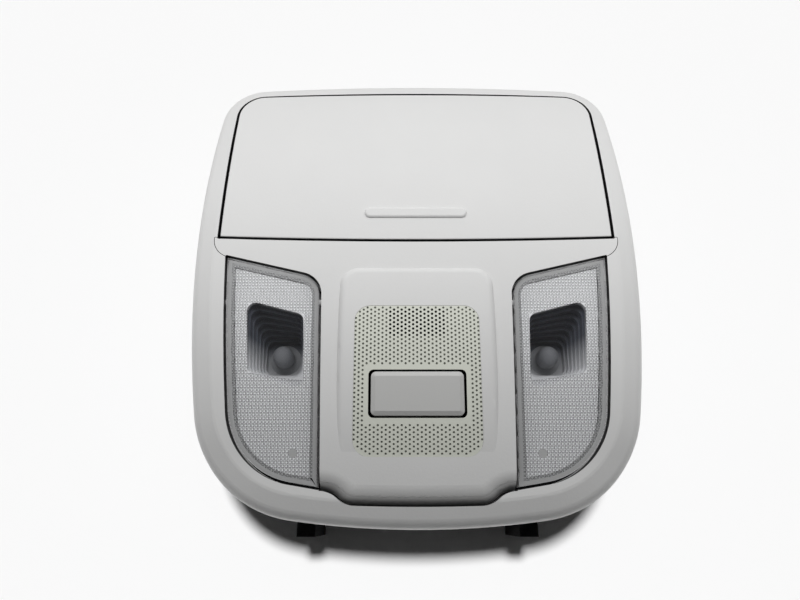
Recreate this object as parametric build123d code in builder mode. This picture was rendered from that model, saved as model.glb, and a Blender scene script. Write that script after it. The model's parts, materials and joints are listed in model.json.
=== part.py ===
import os
from math import acos, asin, copysign, cos, degrees, pi, radians, sin, sqrt, tan

from build123d import *

os.makedirs("parts", exist_ok=True)

# Overhead console for a car roof, lying on its back: face up (+Z), lid end at +Y, lamp end at -Y.
# All sizes are millimetres and degrees.

# Gaps: a wide one round the lid and the lenses, a tight seam round the centre panel
lid_gap = 1.2
lens_gap = 1.2
panel_seam = 0.3
fit = 0.3
running_fit = 0.05

# Outer rim, at the lid end
rim_half_width = 104.6
rim_back_y = 113.6
rim_back_taper = 6.0
rim_back_bow = 4.4
rim_back_radius = 23.0
rim_roll = 11.0
rim_slope = 10.0
rim_slope_drop = 3.2
rim_edge_radius = 5.5
rim_crest_radius = 4.0
rim_wall = 2.4

# Arched face of the console and of the raised pad in its middle
face_apex_y = -4.4
face_apex_z = 60.0
face_radius = 900.0
pad_apex_y = -19.9
pad_rise = 1.8
pad_radius = 372.0
deck_depth = 14.0
rim_skirt = 7.0

pad_apex_z = face_apex_z + pad_rise
deck_z = face_apex_z - deck_depth
rim_base_z = deck_z - rim_skirt

# Lid opening, along the middle of its gap
lid_side_band = 11.7
lid_back_band = 8.8
lid_length = 89.2
lid_back_taper = 1.6
lid_back_bow = 2.3
lid_front_flare = 0.4
lid_front_bow = 1.6
lid_corner_radius = 14.0
lid_wall = 2.5
lid_edge_radius = 0.7
push_bar_length = 49.0
push_bar_width = 5.4
push_bar_inset = 14.8
push_bar_rise = 1.2

lid_side_x = rim_half_width - lid_side_band
lid_back_y = rim_back_y - lid_back_band
lid_front_y = lid_back_y - lid_length
lid_back_corner = (lid_side_x - lid_back_taper, lid_back_y - lid_back_bow)
lid_front_corner = (lid_side_x + lid_front_flare, lid_front_y + lid_front_bow)
push_bar_y = lid_front_y + push_bar_inset

# Lens opening on the right, along the middle of its gap
stem_half_width = 41.6
stem_flare = 2.6
bridge_length = 8.1
lens_side_inset = 4.4
lens_length = 97.3
lens_side_taper = 9.9
lens_middle_drop = 32.5
lens_middle_taper = 2.3
lens_top_slope = 10.7
lens_bottom_slope = 6.1
lens_inner_radius = 10.5
lens_outer_radius = 34.0
lens_wall = 2.4
lens_skirt = 1.6
lens_depth = 7.2
lens_drop = 0.1
lens_pivot_inset = 21.5
lens_pivot_depth = 5.0
lens_pin_radius = 1.5

lens_top_outer = (lid_side_x - lens_side_inset, lid_front_y - bridge_length)
lens_side_middle = (lens_top_outer[0] - lens_middle_taper, lens_top_outer[1] - lens_middle_drop)
lens_bottom_outer = (lens_top_outer[0] - lens_side_taper, lens_top_outer[1] - lens_length)
lens_bottom_inner = (stem_half_width, lens_bottom_outer[1] - lens_bottom_slope)
lens_top_inner = (stem_half_width + stem_flare, lens_top_outer[1] - lens_top_slope)
lens_pivot_y = lens_top_outer[1] - lens_pivot_inset

# Outer rim, at the lamp end
rim_front_band = 16.1
rim_front_taper = 13.8
rim_front_bow = 10.4
rim_front_radius = 52.0
lip_length = 32.0
lip_radius = 95.0
lip_tilt = 3.0

rim_front_y = lens_bottom_inner[1] - rim_front_band
rim_back_corner = (rim_half_width - rim_back_taper, rim_back_y - rim_back_bow)
rim_front_corner = (rim_half_width - rim_front_taper, rim_front_y + rim_front_bow)
lip_start_y = rim_front_y + lip_length

# Centre panel: bridge below the lid, stem between the lenses, nose at the front
bridge_overhang = 1.6
bridge_flare = 2.1
bridge_bow = 0.5
bridge_middle_drop = 4.4
nose_half_width = 26.0
nose_band = 6.5
nose_bow = 0.4
nose_step = 5.8
nose_roll = 9.0
panel_wall = 3.0
panel_skirt = 1.8

bridge_top = (lid_side_x + bridge_flare, lid_front_y + bridge_overhang)
bridge_middle = (lid_side_x + bridge_bow, lid_front_y - bridge_middle_drop)
nose_y = lens_bottom_inner[1] - nose_band

# Raised pad and the grille plate set into it
pad_side_gap = 5.8
pad_back_gap = 13.2
pad_front_gap = 8.4
pad_corner_radius = 9.5
pad_edge_radius = 4.0
plate_width = 55.4
plate_length = 65.6
plate_shift = 4.6
plate_corner_radius = 7.0
plate_wall = 1.5
plate_ledge = 1.4
plate_drop = 0.15

pad_half_width = stem_half_width - pad_side_gap
pad_back_y = lid_front_y - pad_back_gap
pad_front_y = nose_y + pad_front_gap
plate_centre_y = (pad_back_y + pad_front_y) / 2 - plate_shift

# Microphone holes in the grille plate
hole_radius = 0.62
hole_column_step = 1.7
hole_row_step = 1.96
hole_columns = 15
hole_rows = 6
hole_field_inset = 7.8

hole_field_y = plate_length / 2 - hole_field_inset

# Rocker switch
switch_y = -6.65
switch_width = 42.5
switch_length = 20.7
switch_corner_radius = 2.3
rocker_side_gap = 1.1
rocker_end_gap = 0.85
rocker_rise = 0.7
rocker_bevel_width = 2.0
rocker_bevel_drop = 0.9
rocker_pivot_depth = 6.0
rocker_depth = 8.0
rocker_pin_radius = 1.4
rocker_edge_radius = 0.4
case_wall = 1.5
case_floor = 1.5

rocker_width = switch_width - 2 * rocker_side_gap
rocker_length = switch_length - 2 * rocker_end_gap

# Circuit board behind the pad, and what stands on it
board_depth = 14.0
board_wall = 1.6
board_side_gap = 0.8
board_overhang = 4.1
board_boss_inset = 3.2
board_boss_radius = 2.6
board_screw_radius = 1.1
board_screw_head = 2.1
microphone_radius = 3.5
microphone_height = 4.0
microphone_edge_radius = 0.4
boot_wall = 1.4
header_width = 24.0
header_length = 11.0
header_height = 13.0
header_wall = 1.5
header_y = 14.0
header_blade = 5.0
header_blades = 5

board_width = 2 * (pad_half_width - board_side_gap)
board_length = plate_length + 2 * board_overhang
board_boss_x = board_width / 2 - board_boss_inset
board_boss_y = board_length / 2 - board_boss_inset
boot_radius = microphone_radius + boot_wall

# Housings behind the face
deck_wall = 2.0
deck_margin = 4.2
tub_margin = 1.0
tub_wall = 2.0
tub_floor_z = 14.0
tub_back_gap = 2.2
bin_margin = 1.2
bin_wall = 2.0
bin_floor = 2.0
boss_radius = 3.0
screw_radius = 1.4
screw_head_radius = 2.2
screw_head_height = 2.0
screw_length = 6.0
bin_screw_insets = (8.4, 45.4)
lamp_screw_drop = 27.5
lamp_screw_offset = 5.2

bin_outer_x = lid_side_x + bin_margin + bin_wall
housing_split_y = lid_front_y - bin_margin - bin_wall - 2 * fit
tub_back_y = housing_split_y - tub_back_gap
bin_screw_x = (bin_outer_x + rim_half_width - rim_wall) / 2 - fit
lamp_screw_x = (lens_side_middle[0] + rim_half_width) / 2
bin_screws = [(bin_screw_x, lid_front_y + inset) for inset in bin_screw_insets]
lamp_screws = [
    (lamp_screw_x, lens_top_outer[1] - lamp_screw_drop),
    (lens_bottom_outer[0] - lamp_screw_offset, lens_bottom_outer[1] - lamp_screw_offset),
]

# Legs under the lamp end
leg_x = 48.2
leg_width = 8.0
leg_reach = 3.0
leg_length = 22.0
leg_riser = 11.0
leg_drop = 1.0
leg_hole_radius = 2.1
leg_hole_depth = 16.0
leg_hole_inset = 7.0
leg_wall = 1.8
leg_pocket_inset = 16.5
leg_pocket_length = 7.0

leg_front_y = rim_front_y - leg_reach
leg_top_z = rim_base_z - leg_drop
leg_back_y = leg_front_y + leg_length
leg_riser_y = leg_front_y + leg_riser
leg_hole_y = leg_front_y + leg_hole_inset
leg_pocket_y = leg_front_y + leg_pocket_inset

# Reflectors, bulbs and sockets
reflector_margin = 3.4
reflector_wall = 1.5
reflector_depth = 5.5
well_corners = [(14.5, 21.4), (-12.2, 14.4), (-14.0, -20.4), (11.5, -12.5)]
well_corner_radius = 4.0
well_shift = 2.35
well_drop = 41.5
well_floor_z = 24.0
well_floor_half = 8.6
well_steps = 7
bulb_radius = 5.0
bulb_base_radius = 3.5
bulb_base_z = 18.0
bulb_shoulder_z = 27.0
bulb_top_z = 38.0
socket_radius = 7.5
socket_flange_radius = 10.0
socket_flange = 3.0
socket_grip_z = 4.0
socket_grip_width = 4.0

well_centre = ((lens_top_inner[0] + lens_top_outer[0]) / 2 - well_shift, lens_top_outer[1] - well_drop)

# Push switches under the lenses
push_side_gap = 1.25
push_front_gap = 1.5
push_rod_radius = 1.5
push_rod_depth = 0.5
push_case_width = 8.0
push_case_depth = 8.0
push_flange_width = 10.5
push_flange = 1.2
push_hole_radius = 2.1
push_hole_depth = 7.0

push_inset = reflector_margin + reflector_wall + push_flange_width / 2
push_rod_z = deck_z - push_rod_depth
button_x = lens_bottom_inner[0] + push_inset + push_side_gap
lens_bottom_tilt = lens_bottom_slope / (lens_bottom_outer[0] - lens_bottom_inner[0])
push_front_rise = lens_bottom_tilt * (push_inset + push_side_gap + push_flange_width / 2)
button_y = lens_bottom_inner[1] + push_inset + push_front_rise + push_front_gap

# Lid tray, hinge, damper and latch
hinge_inset = 16.8
hinge_depth = 6.24
hinge_bay = 10.9
hinge_pin_radius = 1.6
hinge_ear_radius = 2.9
hinge_post_gap = 0.4
hinge_post_wall = 4.0
tray_wall = 2.0
tray_floor = 1.7
tray_front_gap = 4.0
tray_bottom_z = 27.5
tray_level_length = 26.4
tray_back_gap = 11.0
tray_boss_radius = 4.5
tray_pad_wall = 1.5
tray_pad_margin = 1.0
striker_width = 6.0
striker_depth = 5.0
latch_width = 22.0
latch_length = 15.0
latch_gap = 2.5
latch_pocket_width = 9.0
latch_pocket_length = 8.0
latch_pocket_depth = 7.0
gear_module = 0.8
sector_teeth = 40
pinion_teeth = 12
pressure_angle = 25.0
tooth_addendum = 0.65
tooth_dedendum = 0.95
tooth_backlash = 0.16
mesh_angle = 225.0
sector_cut_teeth = 11
sector_width = 3.6
pinion_width = 3.3
damper_radius = 6.5
damper_flange_radius = 9.0
damper_flange = 2.0
damper_gap = 1.9
damper_shaft_radius = 1.5
damper_cap = 1.2
spring_wire = 0.8
spring_turns = 2.5
spring_pitch = 0.92

hinge_y = lid_back_y - hinge_inset
tray_half_width = lid_side_x - hinge_bay
tray_front_radius = hinge_y - lid_front_y - tray_front_gap
tray_level_y = lid_front_y + tray_level_length
tray_back_y = hinge_y - tray_back_gap
hinge_post_x = tray_half_width + sector_width + hinge_post_gap
latch_top_z = tray_bottom_z - latch_gap
striker_bottom_z = latch_top_z - striker_depth
damper_face_x = bin_outer_x + running_fit
damper_inner_x = tray_half_width + fit + pinion_width + damper_gap

# Rear spring clips
clip_x = 45.0
clip_width = 9.0
clip_steel = 0.8
clip_post_length = 4.0
clip_post_bottom_z = 14.0
clip_post_top_z = 32.0
clip_hook = 1.6

# Longer than anything, for cuts that go right through
reach = 4 * rim_half_width


def face_z(y):
    """Height of the arched face at a place along the console"""
    return face_apex_z - face_radius + sqrt(face_radius**2 - (y - face_apex_y) ** 2)


def pad_z(y):
    """Height of the arched pad at a place along the console"""
    return pad_apex_z - pad_radius + sqrt(pad_radius**2 - (y - pad_apex_y) ** 2)


# Hinge axis of the lid, and the damper's axis one gear mesh away from it
hinge_z = face_z(hinge_y) - hinge_depth
mesh_distance = gear_module * (sector_teeth + pinion_teeth) / 2
damper_y = hinge_y + mesh_distance * cos(radians(mesh_angle))
damper_z = hinge_z + mesh_distance * sin(radians(mesh_angle))


def under_arch(apex_y, apex_z, radius):
    """All that lies below an arch that runs across the console"""
    half = rim_back_y - rim_front_y
    edge_z = apex_z - radius + sqrt(radius**2 - half**2)
    with BuildPart() as block:
        with BuildSketch(Plane.YZ):
            with BuildLine():
                ThreePointArc((apex_y - half, edge_z), (apex_y, apex_z), (apex_y + half, edge_z))
                Polyline(
                    (apex_y + half, edge_z),
                    (apex_y + half, edge_z - reach),
                    (apex_y - half, edge_z - reach),
                    (apex_y - half, edge_z),
                )
            make_face()
        extrude(amount=reach, both=True)
    return block.part


def under_face(depth=0.0):
    """All that lies below the console's face, or below a skin of it"""
    return under_arch(face_apex_y, face_apex_z - depth, face_radius - depth)


def under_rim():
    """All that lies below the rim's face: the console's arch, turned up to a lip at the front"""
    fall = asin((face_apex_y - lip_start_y) / face_radius)
    start = (lip_start_y, face_z(lip_start_y))
    back = (rim_back_y + rim_roll, face_z(rim_back_y + rim_roll))
    front_y = rim_front_y - rim_roll
    with BuildPart() as block:
        with BuildSketch(Plane.YZ):
            with BuildLine():
                ThreePointArc(back, (face_apex_y, face_apex_z), start)
                turn = JernArc(start, (-cos(fall), -sin(fall)), lip_radius, -degrees(fall) - lip_tilt)
                lip_end = (front_y, (turn @ 1).Y + ((turn @ 1).X - front_y) * tan(radians(lip_tilt)))
                Polyline(turn @ 1, lip_end, (front_y, 0), (back[0], 0), back)
            make_face()
        extrude(amount=reach, both=True)
    return block.part


def under_pad(depth=0.0):
    """All that lies below the raised pad's face, or below a skin of it"""
    return under_arch(pad_apex_y, pad_apex_z - depth, pad_radius - depth)


def bowed_outline(back, front, back_y, side_x, front_y):
    """Four bowed sides between two back and two front corners"""
    middle_y = (back[1] + front[1]) / 2
    with BuildSketch() as outline:
        with BuildLine():
            ThreePointArc((-back[0], back[1]), (0, back_y), back)
            ThreePointArc(back, (side_x, middle_y), front)
            ThreePointArc(front, (0, front_y), (-front[0], front[1]))
            ThreePointArc((-front[0], front[1]), (-side_x, middle_y), (-back[0], back[1]))
        make_face()
    return outline.sketch


def rim_outline():
    """Outer edge of the rim"""
    bare = bowed_outline(rim_back_corner, rim_front_corner, rim_back_y, rim_half_width, rim_front_y)
    with BuildSketch() as outline:
        add(bare)
        fillet(outline.vertices().group_by(Axis.Y)[-1], rim_back_radius)
        fillet(outline.vertices().group_by(Axis.Y)[0], rim_front_radius)
    return outline.sketch


def lid_outline():
    """Middle of the gap round the lid"""
    bare = bowed_outline(lid_back_corner, lid_front_corner, lid_back_y, lid_side_x, lid_front_y)
    with BuildSketch() as outline:
        add(bare)
        fillet(outline.vertices().group_by(Axis.Y)[-1], lid_corner_radius)
    return outline.sketch


def lens_outline():
    """Middle of the gap round the right lens"""
    with BuildSketch() as outline:
        with BuildLine():
            ThreePointArc(lens_top_outer, lens_side_middle, lens_bottom_outer)
            Polyline(lens_bottom_outer, lens_bottom_inner, lens_top_inner, lens_top_outer)
        make_face()
        fillet(outline.vertices().sort_by_distance(lens_top_inner)[0], lens_inner_radius)
        fillet(outline.vertices().sort_by_distance(lens_bottom_outer)[0], lens_outer_radius)
    return outline.sketch


def grown(outline, margin):
    """An outline moved outwards, or inwards where the margin is negative, as lines and arcs"""
    with BuildSketch() as moved:
        add(outline)
        offset(amount=margin, mode=Mode.REPLACE)
    with BuildSketch() as result:
        for face in moved.faces():
            with BuildLine():
                for edge in face.outer_wire().edges():
                    if edge.geom_type == GeomType.LINE:
                        Line(edge @ 0, edge @ 1)
                    else:
                        ThreePointArc(edge @ 0, edge @ 0.5, edge @ 1)
            make_face()
    return result.sketch


def both_sides(outline):
    """An outline of the right side and its mirror image"""
    with BuildSketch() as result:
        add(outline)
        mirror(about=Plane.YZ)
    return result.sketch


def panel_field():
    """Bridge, stem and nose of the centre panel, before the lid and the lenses are cut out of it"""
    shoulder = (lens_bottom_inner[0] - lens_gap / 2, nose_y + nose_step)
    stem_foot = (shoulder[0], lens_bottom_inner[1])
    nose_edge = (nose_half_width, nose_y)
    bend = ((shoulder[0] + nose_edge[0]) / 2, nose_y + nose_step / 2)
    inside_lens = (lens_top_inner[0] + lens_inner_radius, lens_top_inner[1] - lens_inner_radius)
    with BuildSketch() as field:
        with BuildLine():
            Line((0, bridge_top[1]), bridge_top)
            ThreePointArc(bridge_top, bridge_middle, lens_top_outer)
            Polyline(lens_top_outer, inside_lens, stem_foot, shoulder)
            first_bend = TangentArc(shoulder, bend, tangent=(-1, 0))
            TangentArc(bend, nose_edge, tangent=first_bend % 1)
            mirror(about=Plane.YZ)
            ThreePointArc(nose_edge, (0, nose_y - nose_bow), (-nose_edge[0], nose_edge[1]))
        make_face()
    return field.sketch


def gear_tooth(teeth):
    """One involute tooth that points along the sketch's first axis"""
    pitch_radius = gear_module * teeth / 2
    base_radius = pitch_radius * cos(radians(pressure_angle))
    tip_radius = pitch_radius + tooth_addendum * gear_module
    root_radius = pitch_radius - tooth_dedendum * gear_module
    start_radius = max(root_radius, base_radius)

    def half_angle(radius):
        """Half of the angle that the tooth fills at a radius"""
        roll = acos(base_radius / radius)
        pitch_roll = radians(pressure_angle)
        pitch_half = pi / (2 * teeth) - tooth_backlash / (4 * pitch_radius)
        return pitch_half + tan(pitch_roll) - pitch_roll - tan(roll) + roll

    def flank(radius, side):
        """Point on one flank of the tooth"""
        angle = side * half_angle(radius)
        return (radius * cos(angle), radius * sin(angle))

    foot_x = (root_radius - gear_module) * cos(half_angle(start_radius))
    foot_y = (root_radius - gear_module) * sin(half_angle(start_radius))
    middle_radius = (start_radius + tip_radius) / 2
    with BuildSketch() as tooth:
        with BuildLine():
            Spline(*[flank(r, -1) for r in (start_radius, middle_radius, tip_radius)])
            Line(flank(tip_radius, -1), flank(tip_radius, 1))
            Spline(*[flank(r, 1) for r in (tip_radius, middle_radius, start_radius)])
            Polyline(flank(start_radius, 1), (foot_x, foot_y), (foot_x, -foot_y), flank(start_radius, -1))
        make_face()
    return tooth.sketch


# Outlines that several pieces share
rim = rim_outline()
lid_hole = lid_outline()
lens_hole = lens_outline()
lens_holes = both_sides(lens_hole)
panel_area = panel_field()
lid_hole_wide = grown(lid_hole, lid_gap / 2)
lens_hole_wide = grown(lens_hole, lens_gap / 2)
lens_holes_wide = both_sides(lens_hole_wide)
panel_area_wide = grown(panel_area, panel_seam)

with BuildSketch() as bezel_hole_sketch:
    add(panel_area_wide)
    add(lid_hole_wide)
    add(lens_holes_wide)
bezel_hole = bezel_hole_sketch.sketch

with BuildSketch() as lamp_field_sketch:
    add(panel_area)
    add(lens_holes)
lamp_field = lamp_field_sketch.sketch

face_block = under_face()

screw_places = [(side * x, y) for side in (-1, 1) for x, y in bin_screws + lamp_screws]

# Place of the lens pivot, and how far out its pins reach
lens_pin_reach = lens_side_middle[0] + lens_gap + rim_wall
lens_pivot_z = face_z(lens_pivot_y) - lens_pivot_depth

# Outer bezel
with BuildPart() as bezel_hollow:
    with BuildSketch(Plane.XY.offset(rim_base_z)):
        add(grown(rim, -rim_wall))
    extrude(amount=reach)
    add(under_face(rim_wall), mode=Mode.INTERSECT)
    crown_edges = bezel_hollow.faces().sort_by(Axis.Z)[-1].edges()
    fillet(crown_edges, rim_roll - rim_wall)
    with BuildSketch(Plane.XY.offset(deck_z)):
        add(grown(bezel_hole, rim_wall))
        with Locations(*screw_places):
            Circle(boss_radius)
    extrude(amount=reach, mode=Mode.SUBTRACT)

with BuildPart() as outer_bezel:
    with BuildSketch(Plane.XY.offset(rim_base_z)):
        add(rim)
    extrude(amount=reach)
    add(under_rim(), mode=Mode.INTERSECT)
    crown = outer_bezel.faces().sort_by(Axis.Z)[-1]
    chamfer(crown.edges().sort_by(Axis.X)[-1], rim_slope, rim_slope_drop, reference=crown)
    slopes = outer_bezel.faces().filter_by(lambda face: 0.5 < face.normal_at().Z < 0.98)
    caps = outer_bezel.faces().filter_by(lambda face: face.normal_at().Z > 0.98)
    fillet(slopes.edges().filter_by(lambda edge: edge in caps.edges()), rim_crest_radius)
    slopes = outer_bezel.faces().filter_by(lambda face: 0.5 < face.normal_at().Z < 0.97)
    walls = outer_bezel.faces().filter_by(lambda face: abs(face.normal_at().Z) < 0.1)
    fillet(slopes.edges().filter_by(lambda edge: edge in walls.edges()), rim_edge_radius)
    with BuildSketch(Plane.XY.offset(rim_base_z)):
        add(bezel_hole)
    extrude(amount=reach, mode=Mode.SUBTRACT)
    add(bezel_hollow.part, mode=Mode.SUBTRACT)
    with Locations(*[(x, y, deck_z) for x, y in screw_places]):
        Cylinder(
            screw_radius + running_fit,
            screw_length,
            align=(Align.CENTER, Align.CENTER, Align.MIN),
            mode=Mode.SUBTRACT,
        )
    with BuildSketch(Plane.YZ):
        with Locations((lens_pivot_y, lens_pivot_z)):
            Circle(lens_pin_radius + running_fit)
    extrude(amount=lens_pin_reach + rim_wall, both=True, mode=Mode.SUBTRACT)
outer_bezel.part.label = "outer_bezel"
export_step(outer_bezel.part, "parts/outer_bezel.step")

# Plane that touches the pad in the middle of the grille plate
pad_tilt = degrees(asin((pad_apex_y - plate_centre_y) / pad_radius))
pad_plane = Plane((0, plate_centre_y, pad_z(plate_centre_y))).rotated((pad_tilt, 0, 0))
boss_depth = plate_wall + panel_wall - 1.0
board_bosses = [(side * board_boss_x, end * board_boss_y) for side in (-1, 1) for end in (-1, 1)]


def pad_level(depth):
    """Plane at a depth below the middle of the grille plate"""
    return pad_plane.offset(-depth)


def plate_outline(margin=0.0):
    """Outline of the grille plate, with a margin round it"""
    with BuildSketch() as outline:
        with Locations((0, plate_centre_y)):
            RectangleRounded(
                plate_width + 2 * margin,
                plate_length + 2 * margin,
                plate_corner_radius + margin,
            )
    return outline.sketch


# Centre panel
with BuildSketch() as panel_sketch:
    add(panel_area)
    add(lens_holes_wide, mode=Mode.SUBTRACT)
    add(lid_hole_wide, mode=Mode.SUBTRACT)
panel_outline = panel_sketch.sketch


with BuildPart() as panel_hollow:
    with BuildSketch(Plane.XY.offset(deck_z)):
        add(grown(panel_outline, -panel_skirt))
        with Locations((0, nose_y + nose_roll)):
            Rectangle(reach, reach, align=(Align.CENTER, Align.MAX), mode=Mode.SUBTRACT)
    extrude(amount=reach)
    add(under_face(panel_wall), mode=Mode.INTERSECT)

with BuildPart() as pad_block:
    with BuildSketch(Plane.XY.offset(deck_z)):
        with Locations((0, (pad_back_y + pad_front_y) / 2)):
            RectangleRounded(2 * pad_half_width, pad_back_y - pad_front_y, pad_corner_radius)
    extrude(amount=reach)
    add(under_pad(), mode=Mode.INTERSECT)
    fillet(pad_block.faces().sort_by(Axis.Z)[-1].edges(), pad_edge_radius)

with BuildPart() as plate_recess:
    with BuildSketch(Plane.XY.offset(deck_z)):
        add(plate_outline(running_fit))
    extrude(amount=reach)
    add(under_pad(plate_wall + plate_drop), mode=Mode.SUBTRACT)

with BuildPart() as centre_panel:
    with BuildSketch(Plane.XY.offset(deck_z)):
        add(panel_outline)
    extrude(amount=reach)
    add(face_block, mode=Mode.INTERSECT)
    face_edges = centre_panel.faces().sort_by(Axis.Z)[-1].edges()
    nose_edges = face_edges.filter_by(lambda edge: edge.center().Y < nose_y + nose_step - running_fit)
    fillet(nose_edges, nose_roll)
    add(pad_block.part)
    add(panel_hollow.part, mode=Mode.SUBTRACT)
    add(plate_recess.part, mode=Mode.SUBTRACT)
    with BuildSketch(Plane.XY.offset(deck_z)):
        add(plate_outline(-plate_ledge))
    extrude(amount=reach, mode=Mode.SUBTRACT)
    with BuildSketch(pad_level(board_depth)):
        with Locations(*board_bosses):
            Circle(board_boss_radius)
    extrude(amount=board_depth - boss_depth)
    with BuildSketch(pad_level(board_depth)):
        with Locations(*board_bosses):
            Circle(board_screw_radius + running_fit)
    extrude(amount=board_depth - boss_depth - panel_wall, mode=Mode.SUBTRACT)
    with BuildSketch(Plane.YZ):
        with Locations((lens_pivot_y, lens_pivot_z)):
            Circle(lens_pin_radius + running_fit)
    extrude(amount=lens_pin_reach, both=True, mode=Mode.SUBTRACT)
centre_panel.part.label = "centre_panel"
export_step(centre_panel.part, "parts/centre_panel.step")

# Grille plate
with BuildPart() as grille_plate:
    with BuildSketch(Plane.XY.offset(deck_z)):
        add(plate_outline())
    extrude(amount=reach)
    add(under_pad(plate_drop), mode=Mode.INTERSECT)
    add(under_pad(plate_drop + plate_wall), mode=Mode.SUBTRACT)
    with BuildSketch(pad_level(0)):
        with Locations((0, switch_y)):
            RectangleRounded(switch_width, switch_length, switch_corner_radius)
        with Locations((0, hole_field_y)):
            with GridLocations(2 * hole_column_step, hole_row_step, (hole_columns + 1) // 2, hole_rows):
                RegularPolygon(hole_radius, 6)
            with GridLocations(2 * hole_column_step, hole_row_step, hole_columns // 2, hole_rows + 1):
                RegularPolygon(hole_radius, 6)
    extrude(amount=board_depth, both=True, mode=Mode.SUBTRACT)
grille_plate.part.label = "grille_plate"
export_step(grille_plate.part, "parts/grille_plate.step")

# Rocker switch: case on the board, button on two pins across the case
case_width = switch_width + 2 * case_wall
case_length = switch_length + 2 * case_wall
case_sag = (abs(switch_y) + case_length / 2) ** 2 / (2 * pad_radius)
case_height = board_depth - plate_wall - plate_drop - case_sag - fit
pin_length = (case_length - rocker_length) / 2 - fit
with BuildPart() as rocker_case:
    with BuildSketch(pad_level(board_depth)):
        with Locations((0, switch_y)):
            Rectangle(case_width, case_length)
    extrude(amount=case_height)
    with BuildSketch(pad_level(board_depth - case_floor)):
        with Locations((0, switch_y)):
            Rectangle(switch_width, switch_length)
    extrude(amount=board_depth, mode=Mode.SUBTRACT)
    with BuildSketch(Plane(pad_plane.origin, pad_plane.x_dir, pad_plane.y_dir)):
        with Locations((0, rocker_pivot_depth)):
            Circle(rocker_pin_radius + running_fit)
    extrude(amount=board_length / 2, both=True, mode=Mode.SUBTRACT)
rocker_case.part.label = "rocker_case"
export_step(rocker_case.part, "parts/rocker_case.step")

with BuildPart() as rocker_button:
    with BuildSketch(pad_level(rocker_depth)):
        with Locations((0, switch_y)):
            RectangleRounded(rocker_width, rocker_length, switch_corner_radius)
    extrude(amount=rocker_depth + rocker_rise)
    top = rocker_button.faces().sort_by(Axis.Z)[-1]
    chamfer(top.edges(), rocker_bevel_width, rocker_bevel_drop, reference=top)
    fillet(rocker_button.faces().sort_by(Axis.Z)[-1].edges(), rocker_edge_radius)
    with BuildSketch(Plane(pad_plane.origin, pad_plane.x_dir, pad_plane.y_dir).offset(switch_y)):
        with Locations((0, rocker_pivot_depth)):
            Circle(rocker_pin_radius)
    extrude(amount=rocker_length / 2 + pin_length, both=True)
rocker_button.part.label = "rocker_button"
export_step(rocker_button.part, "parts/rocker_button.step")

# Circuit board and its screws
with BuildPart() as circuit_board:
    with BuildSketch(pad_level(board_depth + board_wall)):
        Rectangle(board_width, board_length)
        with Locations(*board_bosses):
            Circle(board_screw_radius + fit, mode=Mode.SUBTRACT)
    extrude(amount=board_wall)
circuit_board.part.label = "circuit_board"
export_step(circuit_board.part, "parts/circuit_board.step")

with BuildPart() as board_screws:
    with BuildSketch(pad_level(board_depth + board_wall)):
        with Locations(*board_bosses):
            Circle(board_screw_head)
    extrude(amount=-board_screw_head / 2)
    with BuildSketch(pad_level(board_depth + board_wall)):
        with Locations(*board_bosses):
            Circle(board_screw_radius)
    extrude(amount=board_wall + panel_wall)
board_screws.part.label = "board_screws"
export_step(board_screws.part, "parts/board_screws.step")

# Microphone in its rubber boot, between the board and the holes of the grille plate
plate_sag = (hole_field_y + boot_radius) ** 2 / (2 * pad_radius)
boot_height = board_depth - plate_drop - plate_wall - plate_sag - fit
with BuildPart() as microphone_boot:
    with BuildSketch(pad_level(board_depth)):
        with Locations((0, hole_field_y)):
            Circle(boot_radius)
    extrude(amount=boot_height)
    with BuildSketch(pad_level(board_depth - boot_height + microphone_height)):
        with Locations((0, hole_field_y)):
            Circle(microphone_radius + running_fit)
    extrude(amount=microphone_height, mode=Mode.SUBTRACT)
microphone_boot.part.label = "microphone_boot"
export_step(microphone_boot.part, "parts/microphone_boot.step")

with BuildPart() as microphone:
    with BuildSketch(pad_level(board_depth - boot_height + microphone_height)):
        with Locations((0, hole_field_y)):
            Circle(microphone_radius)
    extrude(amount=microphone_height)
    fillet(microphone.edges().filter_by(GeomType.CIRCLE).sort_by(Axis.Z)[-1], microphone_edge_radius)
microphone.part.label = "microphone"
export_step(microphone.part, "parts/microphone.step")

# Plug socket under the board, open downwards, with a row of contact blades
with BuildPart() as connector_header:
    with BuildSketch(pad_level(board_depth + board_wall)):
        with Locations((0, header_y)):
            Rectangle(header_width, header_length)
    extrude(amount=-header_height)
    with BuildSketch(pad_level(board_depth + board_wall + header_wall)):
        with Locations((0, header_y)):
            Rectangle(header_width - 2 * header_wall, header_length - 2 * header_wall)
    extrude(amount=-header_height, mode=Mode.SUBTRACT)
    with BuildSketch(pad_level(board_depth + board_wall + header_wall)):
        with Locations((0, header_y)):
            with GridLocations(header_width / (header_blades + 1), header_length / 3, header_blades, 2):
                Rectangle(header_wall / 2, header_wall / 2)
    extrude(amount=-header_blade)
connector_header.part.label = "connector_header"
export_step(connector_header.part, "parts/connector_header.step")


def well_outline(margin):
    """Mouth of the right reflector well, with a margin round it"""
    with BuildSketch() as outline:
        with Locations(well_centre):
            Polygon(*well_corners, align=None)
        fillet(outline.vertices(), well_corner_radius)
    return grown(outline.sketch, margin) if margin else outline.sketch


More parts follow.
